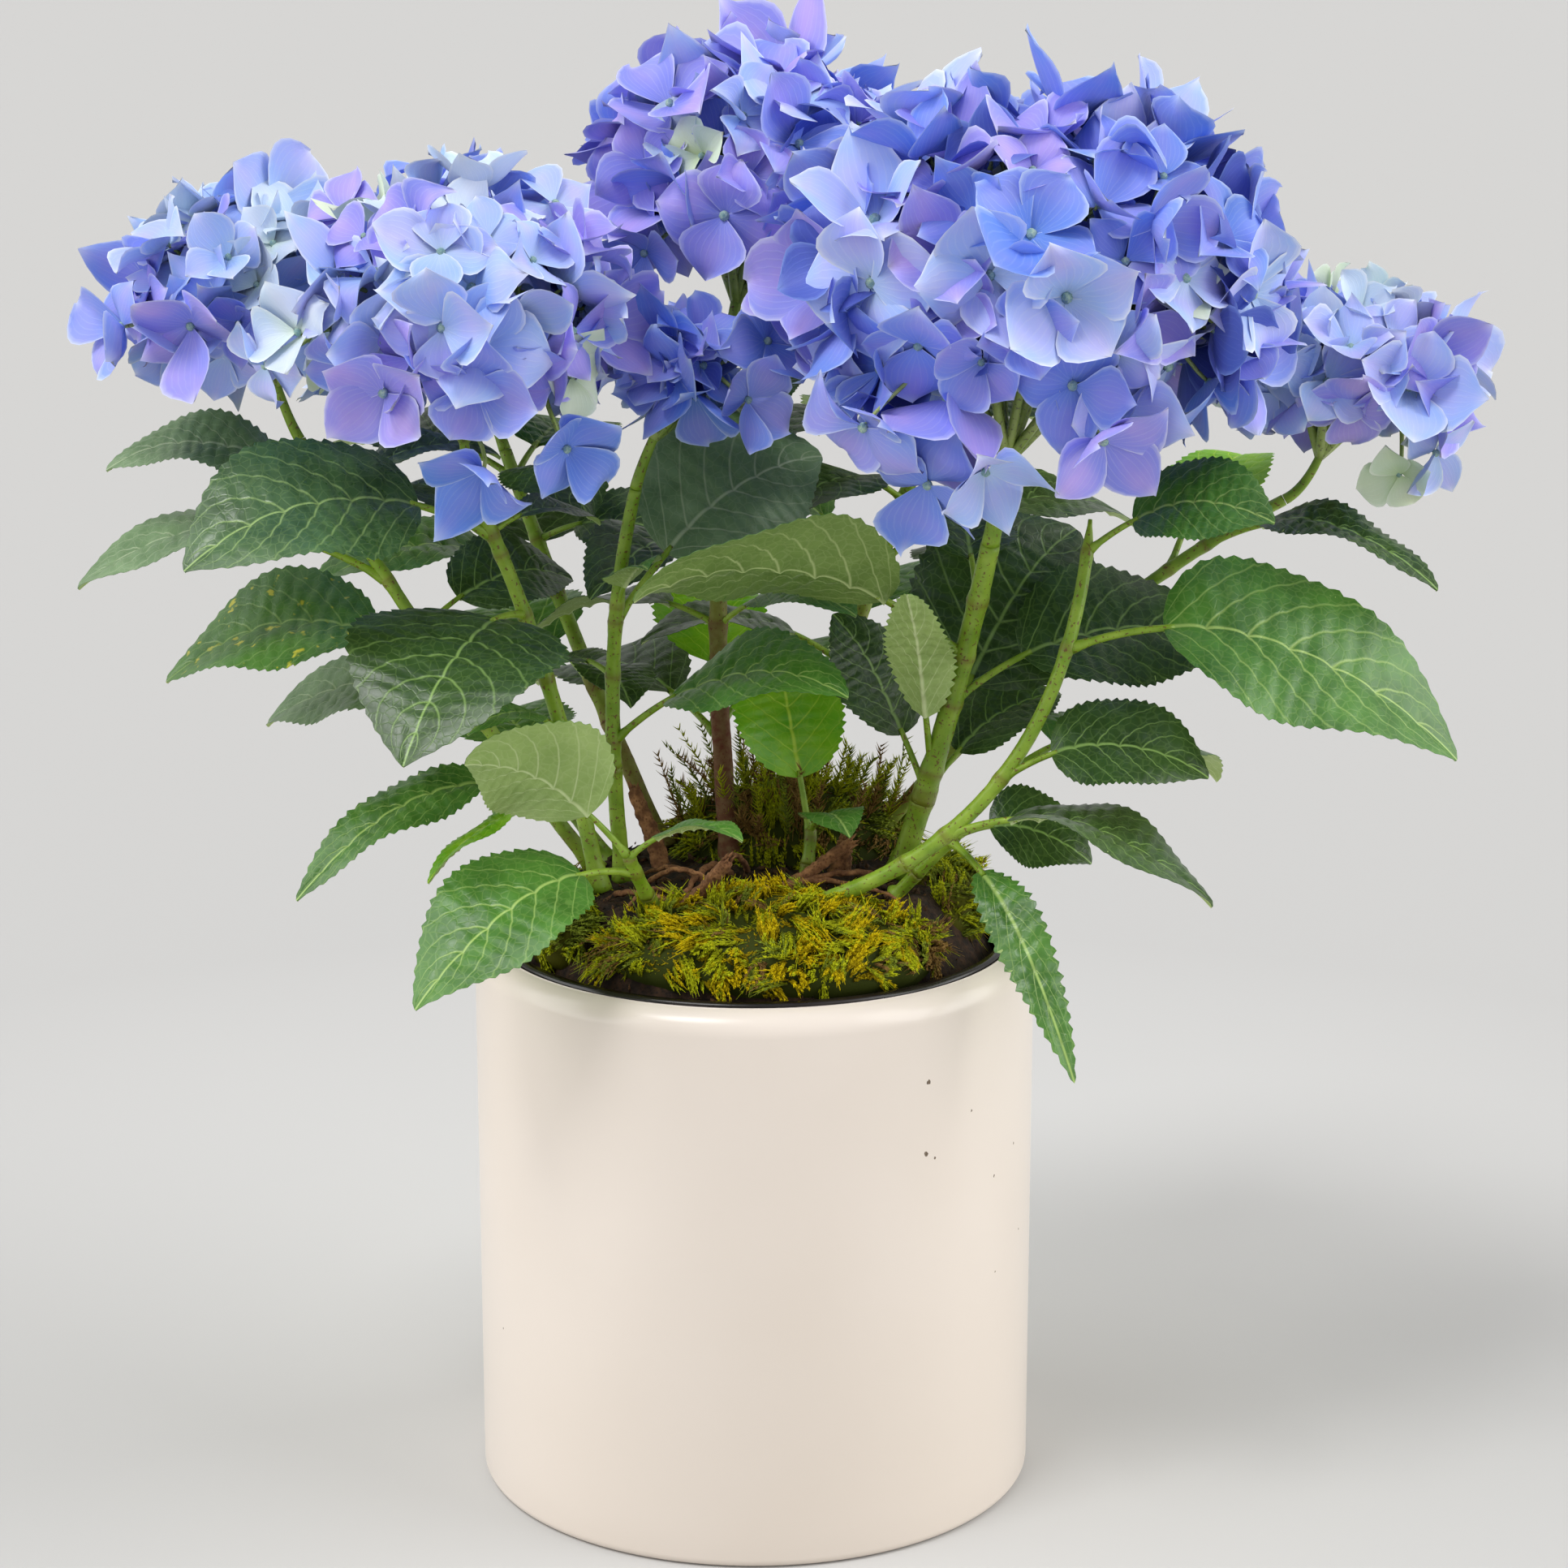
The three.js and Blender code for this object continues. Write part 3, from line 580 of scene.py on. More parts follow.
def stubParts(foot, lean, radius, dice):  # one dry foot with splinters at its broken end
    steps, sides = stubForm["steps"], stubForm["sides"]
    start = np.array([*foot, soilForm["level"] - stubForm["sunk"]])
    t = np.linspace(0, 1, steps)
    line = start + np.outer(t, lean) + np.outer(np.sin(t * 5) * 0.5, [1, 0.6, 0])
    ribs = 0.12 * np.sin(np.arange(sides) * 2.4)[None]
    ridge = 1 + ribs + 0.08 * dice.normal(size=(steps, sides))
    sizes = radius * (1.08 - 0.38 * t)[:, None] * ridge
    sizes[-1] *= 0.55
    parts = [tube(line, sizes, sides, "deadWood")]
    for _ in range(stubForm["splinters"]):
        off = dice.normal(size=3) * radius * 0.35
        tip = line[-2] + off
        lift = np.array(lean) / np.linalg.norm(lean) * (2 + 3 * dice.random())
        splinter = [tip, tip + lift * 0.6, tip + lift + off * 0.3]
        parts.append(tube(splinter, [0.7, 0.45, 0.08], 5, "deadWood"))
    return parts


def twigPart(start, end, rise, radius, dice):
    steps = twigForm["steps"]
    start = np.array([*start, soilHeight(*start) + 0.6])
    end = np.array([*end, soilHeight(*end) + 0.4])
    middle = (start + end) / 2 + np.array([0, 0, rise * 2])
    t = np.linspace(0, 1, steps)
    knobs = dice.normal(size=(steps, 3)) * twigForm["knobbly"]
    line = bezier((start, middle, end), t) + knobs
    return tube(line, radius * (1 - 0.5 * t), twigForm["sides"], "deadWood")


def makeDryWood():
    dice = np.random.default_rng(14)
    parts = []
    for stub in stubs:
        parts += stubParts(*stub, dice)
    for twig in fallenTwigs:
        parts.append(twigPart(*twig, dice))
    names = [f"dry_stub_{index + 1}" for index in range(len(stubs))]
    makePiece("dry_wood", parts, names)


makeSoil()
makeDryWood()

# Canes, leaves and flower heads: the same table as the solids'.
# A cane: foot, bend and tip of its axis, thickness at foot and tip, where the bare wood and the
# leafy shoot end, and how woody it is. A leaf: place along the cane, turn, rise, reach, roll,
# breadth and tone. A head: centre, half widths, height above and depth below.
# The leaf tone Bright is painted backlight, and the tone Sheen is a painted sheen.
canes = {
    "a": {
        "axis": ((46, 2), (66, -6, 262), (76, -32, 330)),
        "radius": (3.7, 2.9), "wood": 0.2, "top": 0.86, "bark": 0.1,
        "leaves": [(0.23, 150, 58, 64, -10, 1.05, "Dark"), (0.28, 255, 61, 74, 0, 0.5, "Middle"),
                   (0.28, 47, 44, 100, 30, 1.2, "Dark"), (0.58, 200, 13, 112, 30, 1, "Olive"),
                   (0.46, 12, 6, 96, 30, 1, "Dark"), (0.72, 95, 15, 60, 0, 1, "Dark"),
                   (0.215, 26, 30, 58, 20, 1.1, "Dark")],
        "head": ((85, -30, 389), (75, 62), 58, 58),
    },
    "b": {
        "axis": ((10, -40), (95, -60, 225), (104, -20, 318)),
        "radius": (2.6, 1.9), "wood": 0.24, "top": 1, "bark": 0,
        "leaves": [(0.34, 342, -10, 86, 5, 1, "Dark"), (0.5, 350, 3, 64, 30, 1.1, "Dark"),
                   (0.5, 36, -8, 92, 0, 1, "Middle"), (0.78, 0, -16, 127, 25, 0.98, "Middle"),
                   (0.95, 340, 12, 60, 25, 1.25, "Middle")],
    },
    "c": {
        "axis": ((-8, 20), (-16, 36, 280), (-8, 56, 372)),
        "radius": (3.3, 2.4), "wood": 0.36, "top": 0.9, "bark": 0.75,
        "leaves": [(0.45, 324, 10, 56, 20, 1, "Middle"), (0.45, 165, -6, 66, 0, 1, "Dark"),
                   (0.68, 70, 8, 92, 0, 1, "Dark"), (0.89, 212, 8, 44, -10, 1.1, "Dark"),
                   (0.83, 298, 12, 44, 0, 1.2, "Dark"), (0.58, 228, -6, 60, -10, 1.2, "Dark")],
        "head": ((2, 60, 417), (54, 48), 41, 35),
    },
    "d": {
        "axis": ((-42, -2), (-50, -12, 280), (-34, -18, 336)),
        "radius": (2.6, 1.9), "wood": 0.24, "top": 0.92, "bark": 0.2,
        "leaves": [(0.3, 336, 15, 84, 25, 1, "Middle"), (0.58, 24, 34, 86, 35, 1.25, "Grey"),
                   (0.62, 291, 30, 34, 20, 1, "Middle"),
                   (0.45, 130, -14, 50, 0, 1.1, "Dark")],
        "head": ((-20, -12, 363), (17, 20), 18, 22),
    },
    "e": {
        "axis": ((-49, -16), (-64, -14, 280), (-88, -28, 332)),
        "radius": (2.7, 2), "wood": 0.28, "top": 0.92, "bark": 0.25,
        "leaves": [(0.34, 226, 8, 40, 0, 1, "Middle"), (0.62, 246, -22, 84, 0, 1.5, "Dark"),
                   (0.83, 204, -2, 98, -24, 1.2, "Sheen"), (0.84, 29, 0, 38, 0, 1, "Dark"),
                   (0.46, 174, 6, 52, 0, 1, "Dark"),
                   (0.78, 132, 14, 56, 0, 1, "Dark")],
        "head": ((-88, -34, 379), (48, 50), 47, 36),
    },
    "f": {
        "axis": ((-51, 8), (-98, -2, 262), (-152, 16, 352)),
        "radius": (2.5, 1.8), "wood": 0.28, "top": 0.92, "bark": 0.3,
        "leaves": [(0.36, 157, -5, 82, -15, 1, "Grey"), (0.5, 172, -6, 92, -20, 1, "Spotted"),
                   (0.66, 181, -1, 99, -14, 0.75, "Grey"), (0.82, 176, 6, 74, -20, 0.7, "Grey"),
                   (0.82, 20, 10, 56, 0, 1, "Dark"),
                   (0.56, 30, 12, 56, 28, 1.3, "Dark")],
        "head": ((-157, 16, 383), (42, 38), 36, 34),
    },
    "g": {
        "axis": ((36, 36), (108, 34, 285), (180, 25, 322)),
        "radius": (2.5, 1.8), "wood": 0.36, "top": 0.93, "bark": 0.4,
        "leaves": [(0.45, 120, 12, 88, 0, 1, "Dark"), (0.68, 60, 24, 70, 0, 1, "Bright"),
                   (0.76, 326, -4, 82, 8, 0.5, "Dark")],
        "head": ((188, 24, 360), (39, 36), 29, 30),
    },
    "h": {
        "axis": ((10, 50), (34, 84, 270), (66, 104, 344)),
        "radius": (3.1, 2.2), "wood": 0.3, "top": 0.92, "bark": 0.6,
        "leaves": [(0.38, 80, 4, 92, 0, 1, "Middle"), (0.38, 190, 8, 70, 0, 1, "Dark"),
                   (0.6, 12, 6, 92, 0, 1, "Dark"), (0.6, 150, 8, 88, 0, 1, "Middle"),
                   (0.86, 50, -6, 88, 0, 1, "Dark"), (0.86, 118, -4, 76, 0, 1, "Middle"),
                   (0.74, 232, 0, 72, 0, 1.15, "Dark")],
        "head": ((76, 109, 384), (50, 46), 44, 40),
    },
    "k": {
        "axis": ((-30, 36), (-62, 66, 262), (-88, 84, 336)),
        "radius": (2.9, 2.1), "wood": 0.3, "top": 0.92, "bark": 0.5,
        "leaves": [(0.38, 130, 2, 94, 0, 1, "Middle"), (0.6, 111, 8, 88, 0, 1, "Dark"),
                   (0.6, 196, 4, 84, 0, 1, "Middle"), (0.86, 155, -4, 88, 0, 1, "Dark"),
                   (0.86, 70, 0, 72, 0, 1, "Middle"), (0.72, 340, -4, 60, 20, 1.1, "Dark"),
                   (0.4, 290, 0, 44, 0, 1.2, "Dark"),
                   (0.86, 300, -6, 56, 20, 1.2, "Dark")],
        "head": ((-99, 90, 373), (46, 43), 42, 40),
    },
    "front": {
        "axis": ((-30, -40), (-35, -52, 210), (-38, -60, 222)),
        "radius": (2.4, 1.9), "wood": 0.3, "top": 1, "bark": 0,
        "leaves": [(0.7, 213, -22, 83, -10, 1.05, "Middle"), (0.95, 195, 33, 60, 45, 1.6, "Middle"),
                   (0.95, 335, 14, 40, 0, 1, "Middle")],
    },
    "centre": {
        "axis": ((16, -2), (18, -1, 206), (18, 1, 215)),
        "radius": (2.2, 1.7), "wood": 0.3, "top": 1, "bark": 0.2,
        "leaves": [(0.8, 118, 66, 68, 0, 1, "Bright"), (0.95, 290, 10, 36, 0, 1, "Middle")],
    },
    "right": {
        "axis": ((45, -21), (56, -27, 212), (64, -32, 221)),
        "radius": (2.2, 1.7), "wood": 0.3, "top": 1, "bark": 0.1,
        "leaves": [(0.85, 300, -40, 92, 35, 0.3, "Middle"), (0.95, 2, -12, 44, 30, 1.3, "Dark")],
    },
    "back": {
        "axis": ((-8, 46), (-12, 64, 220), (-14, 74, 236)),
        "radius": (2.2, 1.7), "wood": 0.3, "top": 1, "bark": 0.2,
        "leaves": [(0.8, 60, 8, 84, 0, 1, "Middle"), (0.8, 139, 4, 86, 0, 1, "Dark"),
                   (0.95, 95, 34, 70, 0, 1, "Bright")],
    },
    "left": {
        "axis": ((-47, 22), (-62, 25, 216), (-72, 24, 228)),
        "radius": (2.2, 1.7), "wood": 0.3, "top": 1, "bark": 0.2,
        "leaves": [(0.8, 197, -21, 90, -15, 0.5, "Middle"), (0.8, 111, 0, 78, 0, 1, "Middle"),
                   (0.5, 214, -17, 56, 0, 0.45, "Bright")],
    },
}
sprouts = ("front", "centre", "right", "back", "left")
for cane in canes.values():
    cane["axis"] = [np.array([*p, soilForm["level"] + clearance] if len(p) == 2 else p, float)
                    for p in cane["axis"]]


def seeded(seed):  # the same small random sequence for the same seed
    state = seed
    while True:
        state = state * 16807 % 2147483647
        yield state / 2147483647


# Stems

stemForm = {"flare": 1.4, "flareEnd": 0.06, "sides": 20, "ring": 1.6, "swelling": 0.16,
            "swellingReach": 2.4, "bud": 0.06, "petiole": 1.3, "petioleFoot": 2.1, "overlap": 0.005}


def caneSize(cane, t):
    foot, tip = cane["radius"]
    flare = np.maximum(0, 1 - t / stemForm["flareEnd"]) * stemForm["flare"]
    return foot + (tip - foot) * t + flare


def stemPart(cane, start, end, dice):
    curve, form = cane["axis"], stemForm
    length = np.linalg.norm(np.diff(bezier(curve, np.linspace(0, 1, 30)), axis=0), axis=1).sum()
    steps = max(12, int((end - start) * length / form["ring"]))
    t = np.linspace(start, end, steps)
    near = np.zeros(steps)  # 1 at the joints, where the cane swells
    for joint in {leaf[0] for leaf in cane["leaves"]} | {cane["wood"]}:
        near = np.maximum(near, np.exp(-(((t - joint) * length / form["swellingReach"]) ** 2)))
    angles = np.arange(form["sides"]) * 2 * np.pi / form["sides"]
    grain = 0.012 * dice.normal(size=(steps, form["sides"]))
    ridges = 1 + 0.025 * np.sin(angles * 5 + 1)[None] + grain
    woody = cane["bark"] * np.clip(1.4 - t * 1.6, 0, 1)
    closing = 1
    if cane["top"] == 1:  # a shoot with no head ends in a bud
        closing = np.clip((1 - t) / form["bud"], 0.12, 1) ** 0.5
    sizes = (caneSize(cane, t) * (1 + form["swelling"] * near) * closing)[:, None] * ridges
    sizes *= 1 + woody[:, None] * 0.06 * np.sin(angles[None] * 3 + t[:, None] * 40)
    return tube(bezier(curve, t), sizes, form["sides"], "stem", np.stack([woody, near], -1))


# Leaves

leafForm = {
    "petiole": 0.24, "width": 0.7, "arch": 0.34, "fold": 0.1, "rollSpread": 16,
    "swell": 0.58, "narrow": 0.94, "widest": 0.365,  # of the outline
    "teeth": 20, "tooth": 2.1, "toothBack": 0.67,
    "quilt": 1.45, "wave": 2.4, "sag": 0.8, "groove": 0.7,
    "thickness": 0.42, "edge": 0.35, "rib": 0.9, "sideRib": 0.22,
    "along": 72, "across": 10, "petioleRings": 16,
}


def leafMidrib(root, turn, rise, reach):
    turn, rise = math.radians(turn), math.radians(rise)
    level = math.cos(rise)
    way = np.array([math.cos(turn) * level, math.sin(turn) * level, math.sin(rise)])
    bend = root + way * reach / 2 + np.array([0, 0, reach * leafForm["arch"] * level])
    return root, bend, root + way * reach


def leafFrame(midrib, turn, roll, t):
    along = bezierAlong(midrib, t)
    turn, roll = math.radians(turn), math.radians(roll)
    level = np.broadcast_to([-math.sin(turn), math.cos(turn), 0.0], along.shape)
    dot = (along * level).sum(-1, keepdims=True)
    cosine, sine = math.cos(roll), math.sin(roll)
    side = level * cosine + np.cross(along, level) * sine + along * dot * (1 - cosine)
    return side, np.cross(along, side)


def leafParts(cane, leaf, draw, dice):  # the blade's two faces, its stalk and its rim
    at, turn, rise, reach, roll, breadth, tone = leaf
    form = leafForm
    midrib = leafMidrib(bezier(cane["axis"], at), turn, rise, reach)
    roll += (draw - 0.5) * form["rollSpread"]
    rows, columns = form["along"], form["across"] + 1
    s = np.linspace(0.004, 0.997, rows)
    t = form["petiole"] + s * (1 - form["petiole"])
    side, face = leafFrame(midrib, turn, roll, t)
    full = reach * (1 - form["petiole"]) * form["width"] * breadth / 2
    half = full * s ** form["swell"] * (1 - s) ** form["narrow"] / form["widest"]
    step, back = (s * form["teeth"]) % 1, form["toothBack"]
    saw = np.where(step < back, step / back, (1 - step) / (1 - back))
    tooth = form["tooth"] * saw * np.sqrt(np.clip(half / full, 0, 1))
    toothed = half + tooth * np.minimum(1, reach / 80)
    a = np.linspace(-1, 1, columns)
    a = np.sign(a) * np.abs(a) ** 0.9
    wide = np.abs(a)[None]
    offset = a[None] * half[:, None]
    offset[:, 0], offset[:, -1] = -toothed, toothed
    run = (s[:, None] - veinForm["sweep"] * wide ** veinForm["bend"]) * veinForm["pairs"]
    bulge = 1 - np.abs(2 * (run % 1) - 1) ** 3
    share = (half / full)[:, None]
    size = min(1.2, reach / 85)
    phase = dice.random(4) * 2 * np.pi
    sway = np.sin(s * 9 + phase[0])[:, None] * (a[None] > 0)
    sway = sway + np.sin(s * 8 + phase[1])[:, None] * (a[None] < 0)
    lift = np.abs(offset) * form["fold"]
    lift = lift + form["quilt"] * size * bulge * (1 - wide ** 4) * share
    lift = lift + form["wave"] * size * sway * wide ** 2 * share
    lift = lift + size * np.sin(s * 5 + phase[2])[:, None] * form["sag"] * share
    lift = lift - form["groove"] * np.exp(-((offset / 1.3) ** 2))
    centre = bezier(midrib, t)
    top = centre[:, None] + side[:, None] * offset[..., None] + face[:, None] * lift[..., None]
    rib = form["rib"] * (1 - s[:, None] * 0.7) * np.exp(-((offset / 1.4) ** 2)) * size
    branch = form["sideRib"] * (1 - bulge) * (1 - wide) * size
    inward = form["edge"] + (1 - form["edge"]) * (1 - wide ** 4)
    thick = form["thickness"] * inward + rib + branch
    under = top - face[:, None] * thick[..., None]
    numbers = np.zeros((rows, columns, 3))
    numbers[..., 0], numbers[..., 1], numbers[..., 2] = a[None], s[:, None], offset
    faces = gridFaces(rows, columns)
    lower = "leafUnderOlive" if tone == "Olive" else "leafUnder"
    parts = [(top, [faces[:, ::-1]], "leaf" + tone, numbers), (under, [faces], lower, numbers)]
    stalk = np.linspace(0.01, form["petiole"] + 0.03, form["petioleRings"])
    taper = np.clip(1 - stalk / 0.06, 0, 1) * (stemForm["petioleFoot"] - stemForm["petiole"])
    sizes = (stemForm["petiole"] - stalk * 1.2 + taper) * (0.55 + 0.45 * size)
    line = bezier(midrib, stalk) - leafFrame(midrib, turn, roll, stalk)[1] * 0.3
    parts.append(tube(line, sizes, 8, "stem", np.zeros((len(stalk), 2))))
    edge = np.concatenate([top[:, [0, -1]], under[:, [0, -1]]], 1)
    first = np.arange(rows - 1) * 4
    strips = [np.stack([first + left, first + 4 + left, first + 4 + right, first + right], -1)
              for left, right in ((0, 2), (3, 1))]
    rim = np.zeros((rows, 4, 3))
    rim[..., 0], rim[..., 1], rim[..., 2] = 1, s[:, None], 99  # far from the midrib's vein
    parts.append((edge, strips, "leaf" + tone, rim))
    return parts


# Flower heads

headForm = {"lowest": 128, "golden": 137.508, "spread": 10, "layer": 2.2, "tilt": 0.36, "sunk": 7,
            "room": 10.5, "fringe": 0.7}
layers = [(1, 20.5, 1), (0.8, 27, 0.84), (0.56, 36, 0.8)]  # share of the head, spacing, floret size
floretForm = {"radius": 22.5, "across": 5, "along": 9, "width": 0.52, "thickness": 0.34,
              "sizes": (0.86, 0.24), "smaller": (0.74, 0.34), "pale": 0.8}
sepalForm = {  # from and to, drawn for each sepal
    "length": (0.88, 1.1), "breadth": (0.88, 1.12), "belly": (0.85, 1.15), "point": (0.85, 1.4),
    "cup": (0.1, 0.6), "curl": (-0.4, 0.6), "fold": (-0.45, 0.8), "wave": (0.03, 0.09),
    "beak": (-0.9, 1.6), "phase": (0, 6.28), "twist": (-24, 24), "swing": (-9, 9),
}
floretCup = (-0.1, 0.45)  # drawn for each floret
floretScale = {"c": 0.9, "d": 0.84, "e": 0.88, "f": 0.84, "g": 0.84, "h": 0.9, "k": 0.9}
tones = ("Periwinkle", "Blue", "Violet", "Sky", "Pale", "Young")
# After the six listed tones, any share left over, and the seventh share of the inner layers, go to
# Deep, the painted shade tone.
toneShares = {  # how many florets of a head are of each tone
    "a": (0.26, 0.3, 0.16, 0.18, 0.06, 0), "c": (0.22, 0.03, 0.38, 0.25, 0.07, 0.05),
    "d": (0.1, 0.6, 0, 0.2, 0.1, 0), "e": (0.1, 0.03, 0.25, 0.36, 0.18, 0.08),
    "f": (0.06, 0, 0.12, 0.54, 0.28, 0), "g": (0.04, 0, 0.18, 0.36, 0.28, 0.14),
    "h": (0.3, 0.3, 0.2, 0.15, 0.05, 0), "k": (0.3, 0.3, 0.2, 0.15, 0.05, 0),
    "inside": (0, 0.1, 0, 0.08, 0.1, 0.07, 0.65),
    "insidePale": (0.15, 0.2, 0.15, 0.2, 0.1, 0.05, 0.15),
}
paleHeads = ("c", "e", "f", "g")
looseFlorets = {  # florets that hang out of a head: place, outward, size, tone
    "e": [((-79, -66, 341), (-0.3, -0.8, -0.5), 19, "Blue"),
          ((-55, -64, 347), (0.4, -0.9, -0.3), 18, "Blue"),
          ((-106, -82, 366), (-0.3, -0.9, -0.3), 20, "Violet"),
          ((-144, -50, 370), (-0.7, -0.5, -0.5), 16, "Sky"),
          ((-133, -58, 380), (-0.6, -0.7, 0.3), 16, "Pale"),
          ((-60, -22, 414), (0.4, -0.4, 0.8), 17, "Sky"),
          ((-124, -14, 410), (-0.5, -0.4, 0.8), 16, "Violet")],
    "a": [((33, -80, 356), (-0.5, -0.6, -0.6), 21, "Periwinkle"),
          ((68, -80, 343), (0.2, -0.8, -0.6), 19, "Sky"),
          ((52, -72, 338), (-0.3, -0.6, -0.7), 20, "Blue"),
          ((102, -80, 352), (0.3, -0.8, -0.5), 21, "Violet"),
          ((119, -20, 434), (0.5, -0.2, 0.8), 19, "Sky")],
    "f": [((-194, -6, 376), (-0.8, -0.6, 0), 19, "Periwinkle"),
          ((-171, -19, 378), (-0.35, -0.8, -0.35), 19, "Violet"),
          ((-178, 2, 369), (-0.4, -0.7, -0.5), 16, "Sky")],
    "g": [((212, 6, 351), (0.7, -0.6, -0.2), 17, "Violet"),
          ((213, 2, 336), (0.5, -0.7, -0.4), 16, "Sky"),
          ((203, 4, 329), (-0.3, -0.8, -0.4), 13, "Young")],
    "c": [((-9, 14, 408), (-0.1, -0.9, 0.1), 22, "Violet"),
          ((-34, 24, 396), (-0.5, -0.7, -0.4), 17, "Periwinkle"),
          ((14, 18, 392), (0.3, -0.8, -0.5), 18, "Periwinkle")],
    "d": [((4, -14, 372), (0.5, -0.7, 0.4), 17, "Blue"),
          ((-2, -24, 356), (0.5, -0.8, -0.2), 16, "Periwinkle")],
}


def domePoint(head, polar, turn, share):  # a point of the head's dome and the way out of it there
    at, half, above, below = head
    polar, turn = math.radians(polar), math.radians(turn)
    level = math.sin(polar)
    x, y, z = math.cos(turn) * level, math.sin(turn) * level, math.cos(polar)
    height = above if z > 0 else below
    place = np.array(at) + np.array([x * half[0], y * half[1], z * height]) * share
    return place, unit(np.array([x / half[0], y / half[1], z / height]))


def insideHead(point, head):
    at, half, above, below = head
    room = headForm["room"]
    x, y = (point[0] - at[0]) / (half[0] + room), (point[1] - at[1]) / (half[1] + room)
    z = (point[2] - at[2]) / ((above if point[2] > at[2] else below) + room)
    lowest = below * math.cos(math.radians(180 - headForm["lowest"]))
    fringe = at[2] - lowest - floretForm["radius"] * headForm["fringe"]
    return point[2] > fringe and x * x + y * y + z * z < 1


# Rolls beyond the listed shares give petalDeep, a tone of painted shade.
def pickTone(shares, roll):
    for tone, share in zip((*tones, "Deep"), shares):
        roll -= share
        if roll < 0:
            return "petal" + tone
    return "petalDeep"


def headFlorets(name, cane, draws):  # every floret as (place, outward, spin, size, finish)
    head, form = cane["head"], headForm
    _, half, above, below = head
    others = [c["head"] for c in canes.values() if c.get("head") and c is not cane]
    mean = (half[0] + half[1] + (above + below) / 2) / 3
    span = 1 - math.cos(math.radians(form["lowest"]))
    dice = np.random.default_rng(300 + ord(name))
    found = []
    ownScale = floretScale.get(name, 1.0)
    inside = "insidePale" if name in paleHeads else "inside"
    least, more = floretForm["sizes"]
    smallest, larger = floretForm["smaller"]
    for share, spacing, scale in layers:
        spacing, scale = spacing * ownScale, scale * ownScale
        shares = toneShares[name if share == 1 else inside]
        count = round(2 * math.pi * (mean * share) ** 2 * span / spacing ** 2)
        for index in range(count):
            polar = math.degrees(math.acos(1 - span * (index + 0.5) / count))
            spread = (next(draws) - 0.5) * form["spread"]
            spin = next(draws) * 90
            size = floretForm["radius"] * (least + next(draws) * more) * scale
            place, outward = domePoint(head, polar, index * form["golden"] + spread, share)
            place = place - outward * ((index % 3) * form["layer"] + form["sunk"])
            tilt = dice.normal(size=3) * form["tilt"]
            roll, small = dice.random(), dice.random()
            if any(insideHead(place + outward * size * 0.3, other) for other in others):
                continue
            finish = pickTone(shares, roll)
            if finish in ("petalPale", "petalYoung"):
                size *= floretForm["pale"]
            size *= smallest + small * larger
            found.append((place, unit(outward + tilt), spin, size, finish))
    for place, outward, size, tone in looseFlorets.get(name, []):
        outward = unit(np.array(outward, float))
        found.append((np.array(place, float), outward, size * 4.0, size, "petal" + tone))
    return found


# Four cupped, pointed sepals for each floret, made together for each colour. Arrays run over
# florets, sepals, rows along a sepal and columns across it.
def petalParts(florets, dice):
    form = floretForm
    rows, columns = form["along"], form["across"] + 1
    v = np.linspace(0.03, 1, rows)[:, None]
    u = np.linspace(-1, 1, columns)[None]
    parts = []
    for finish in sorted({f[4] for f in florets}):
        group = [f for f in florets if f[4] == finish]
        count = len(group)
        place = np.array([f[0] for f in group])
        outward = np.array([f[1] for f in group])
        side = unit(np.cross([0.13, 1, 0.07], outward))
        other = np.cross(outward, side)
        spin = np.radians([f[2] for f in group])
        size = np.array([f[3] for f in group])

        def draw(what):
            return dice.uniform(*sepalForm[what], (count, 4, 1, 1))

        length = size[:, None, None, None] * draw("length")
        swell = np.sin(np.pi * np.clip(v, 0, 0.997) ** draw("belly"))
        width = length * swell ** draw("point") * form["width"] * draw("breadth")
        cup, curl = draw("cup"), draw("curl")
        cup = cup + dice.uniform(*floretCup, (count, 1, 1, 1))
        fold, wave, beak = draw("fold"), draw("wave"), draw("beak")
        phase, twist = draw("phase"), np.radians(draw("twist"))
        x = length * v * (1 - 0.12 * cup)
        y = width * u
        z = length * (cup * v ** 1.25 - curl * v ** 3 * 0.8 - beak * np.maximum(0, v - 0.6) ** 2)
        z = z + fold * np.abs(u) ** 1.25 * width
        z = z + wave * length * np.sin(v * 7 + phase + u * 1.4) * np.abs(u) ** 1.5 * v
        z = z + wave * length * 0.5 * np.sin(v * 5 + phase * 2)
        lean = twist * v
        y, z = y * np.cos(lean) - z * np.sin(lean) * 0.2, z + y * np.sin(lean)
        z = z + (np.arange(4) % 2)[None, :, None, None] * 0.9  # every other sepal lies above
        quarter = np.radians(np.arange(4) * 90)[None, :, None, None]
        turn = spin[:, None, None, None] + quarter + np.radians(draw("swing"))
        away = (x * np.cos(turn) - y * np.sin(turn))[..., None]
        aside = (x * np.sin(turn) + y * np.cos(turn))[..., None]
        place, side, other, outward = [
            vectors[:, None, None, None] for vectors in (place, side, other, outward)]
        top = place + away * side + aside * other + z[..., None] * outward
        thick = form["thickness"] * (1 - 0.8 * np.abs(u) ** 3) * np.ones_like(v)
        under = top - outward * thick[None, None, ..., None]
        numbers = np.zeros(top.shape)
        numbers[..., 0], numbers[..., 1] = u, v
        numbers[..., 2] = dice.random((count, 1, 1, 1))
        faces = copiesOf(gridFaces(rows, columns), rows * columns, count * 4)
        parts.append((top, [faces[:, ::-1]], finish, numbers))
        parts.append((under, [faces], finish, numbers))
    return parts


eyeForm = {"radius": 1.75, "proud": 1.2, "rings": 5, "sides": 6}


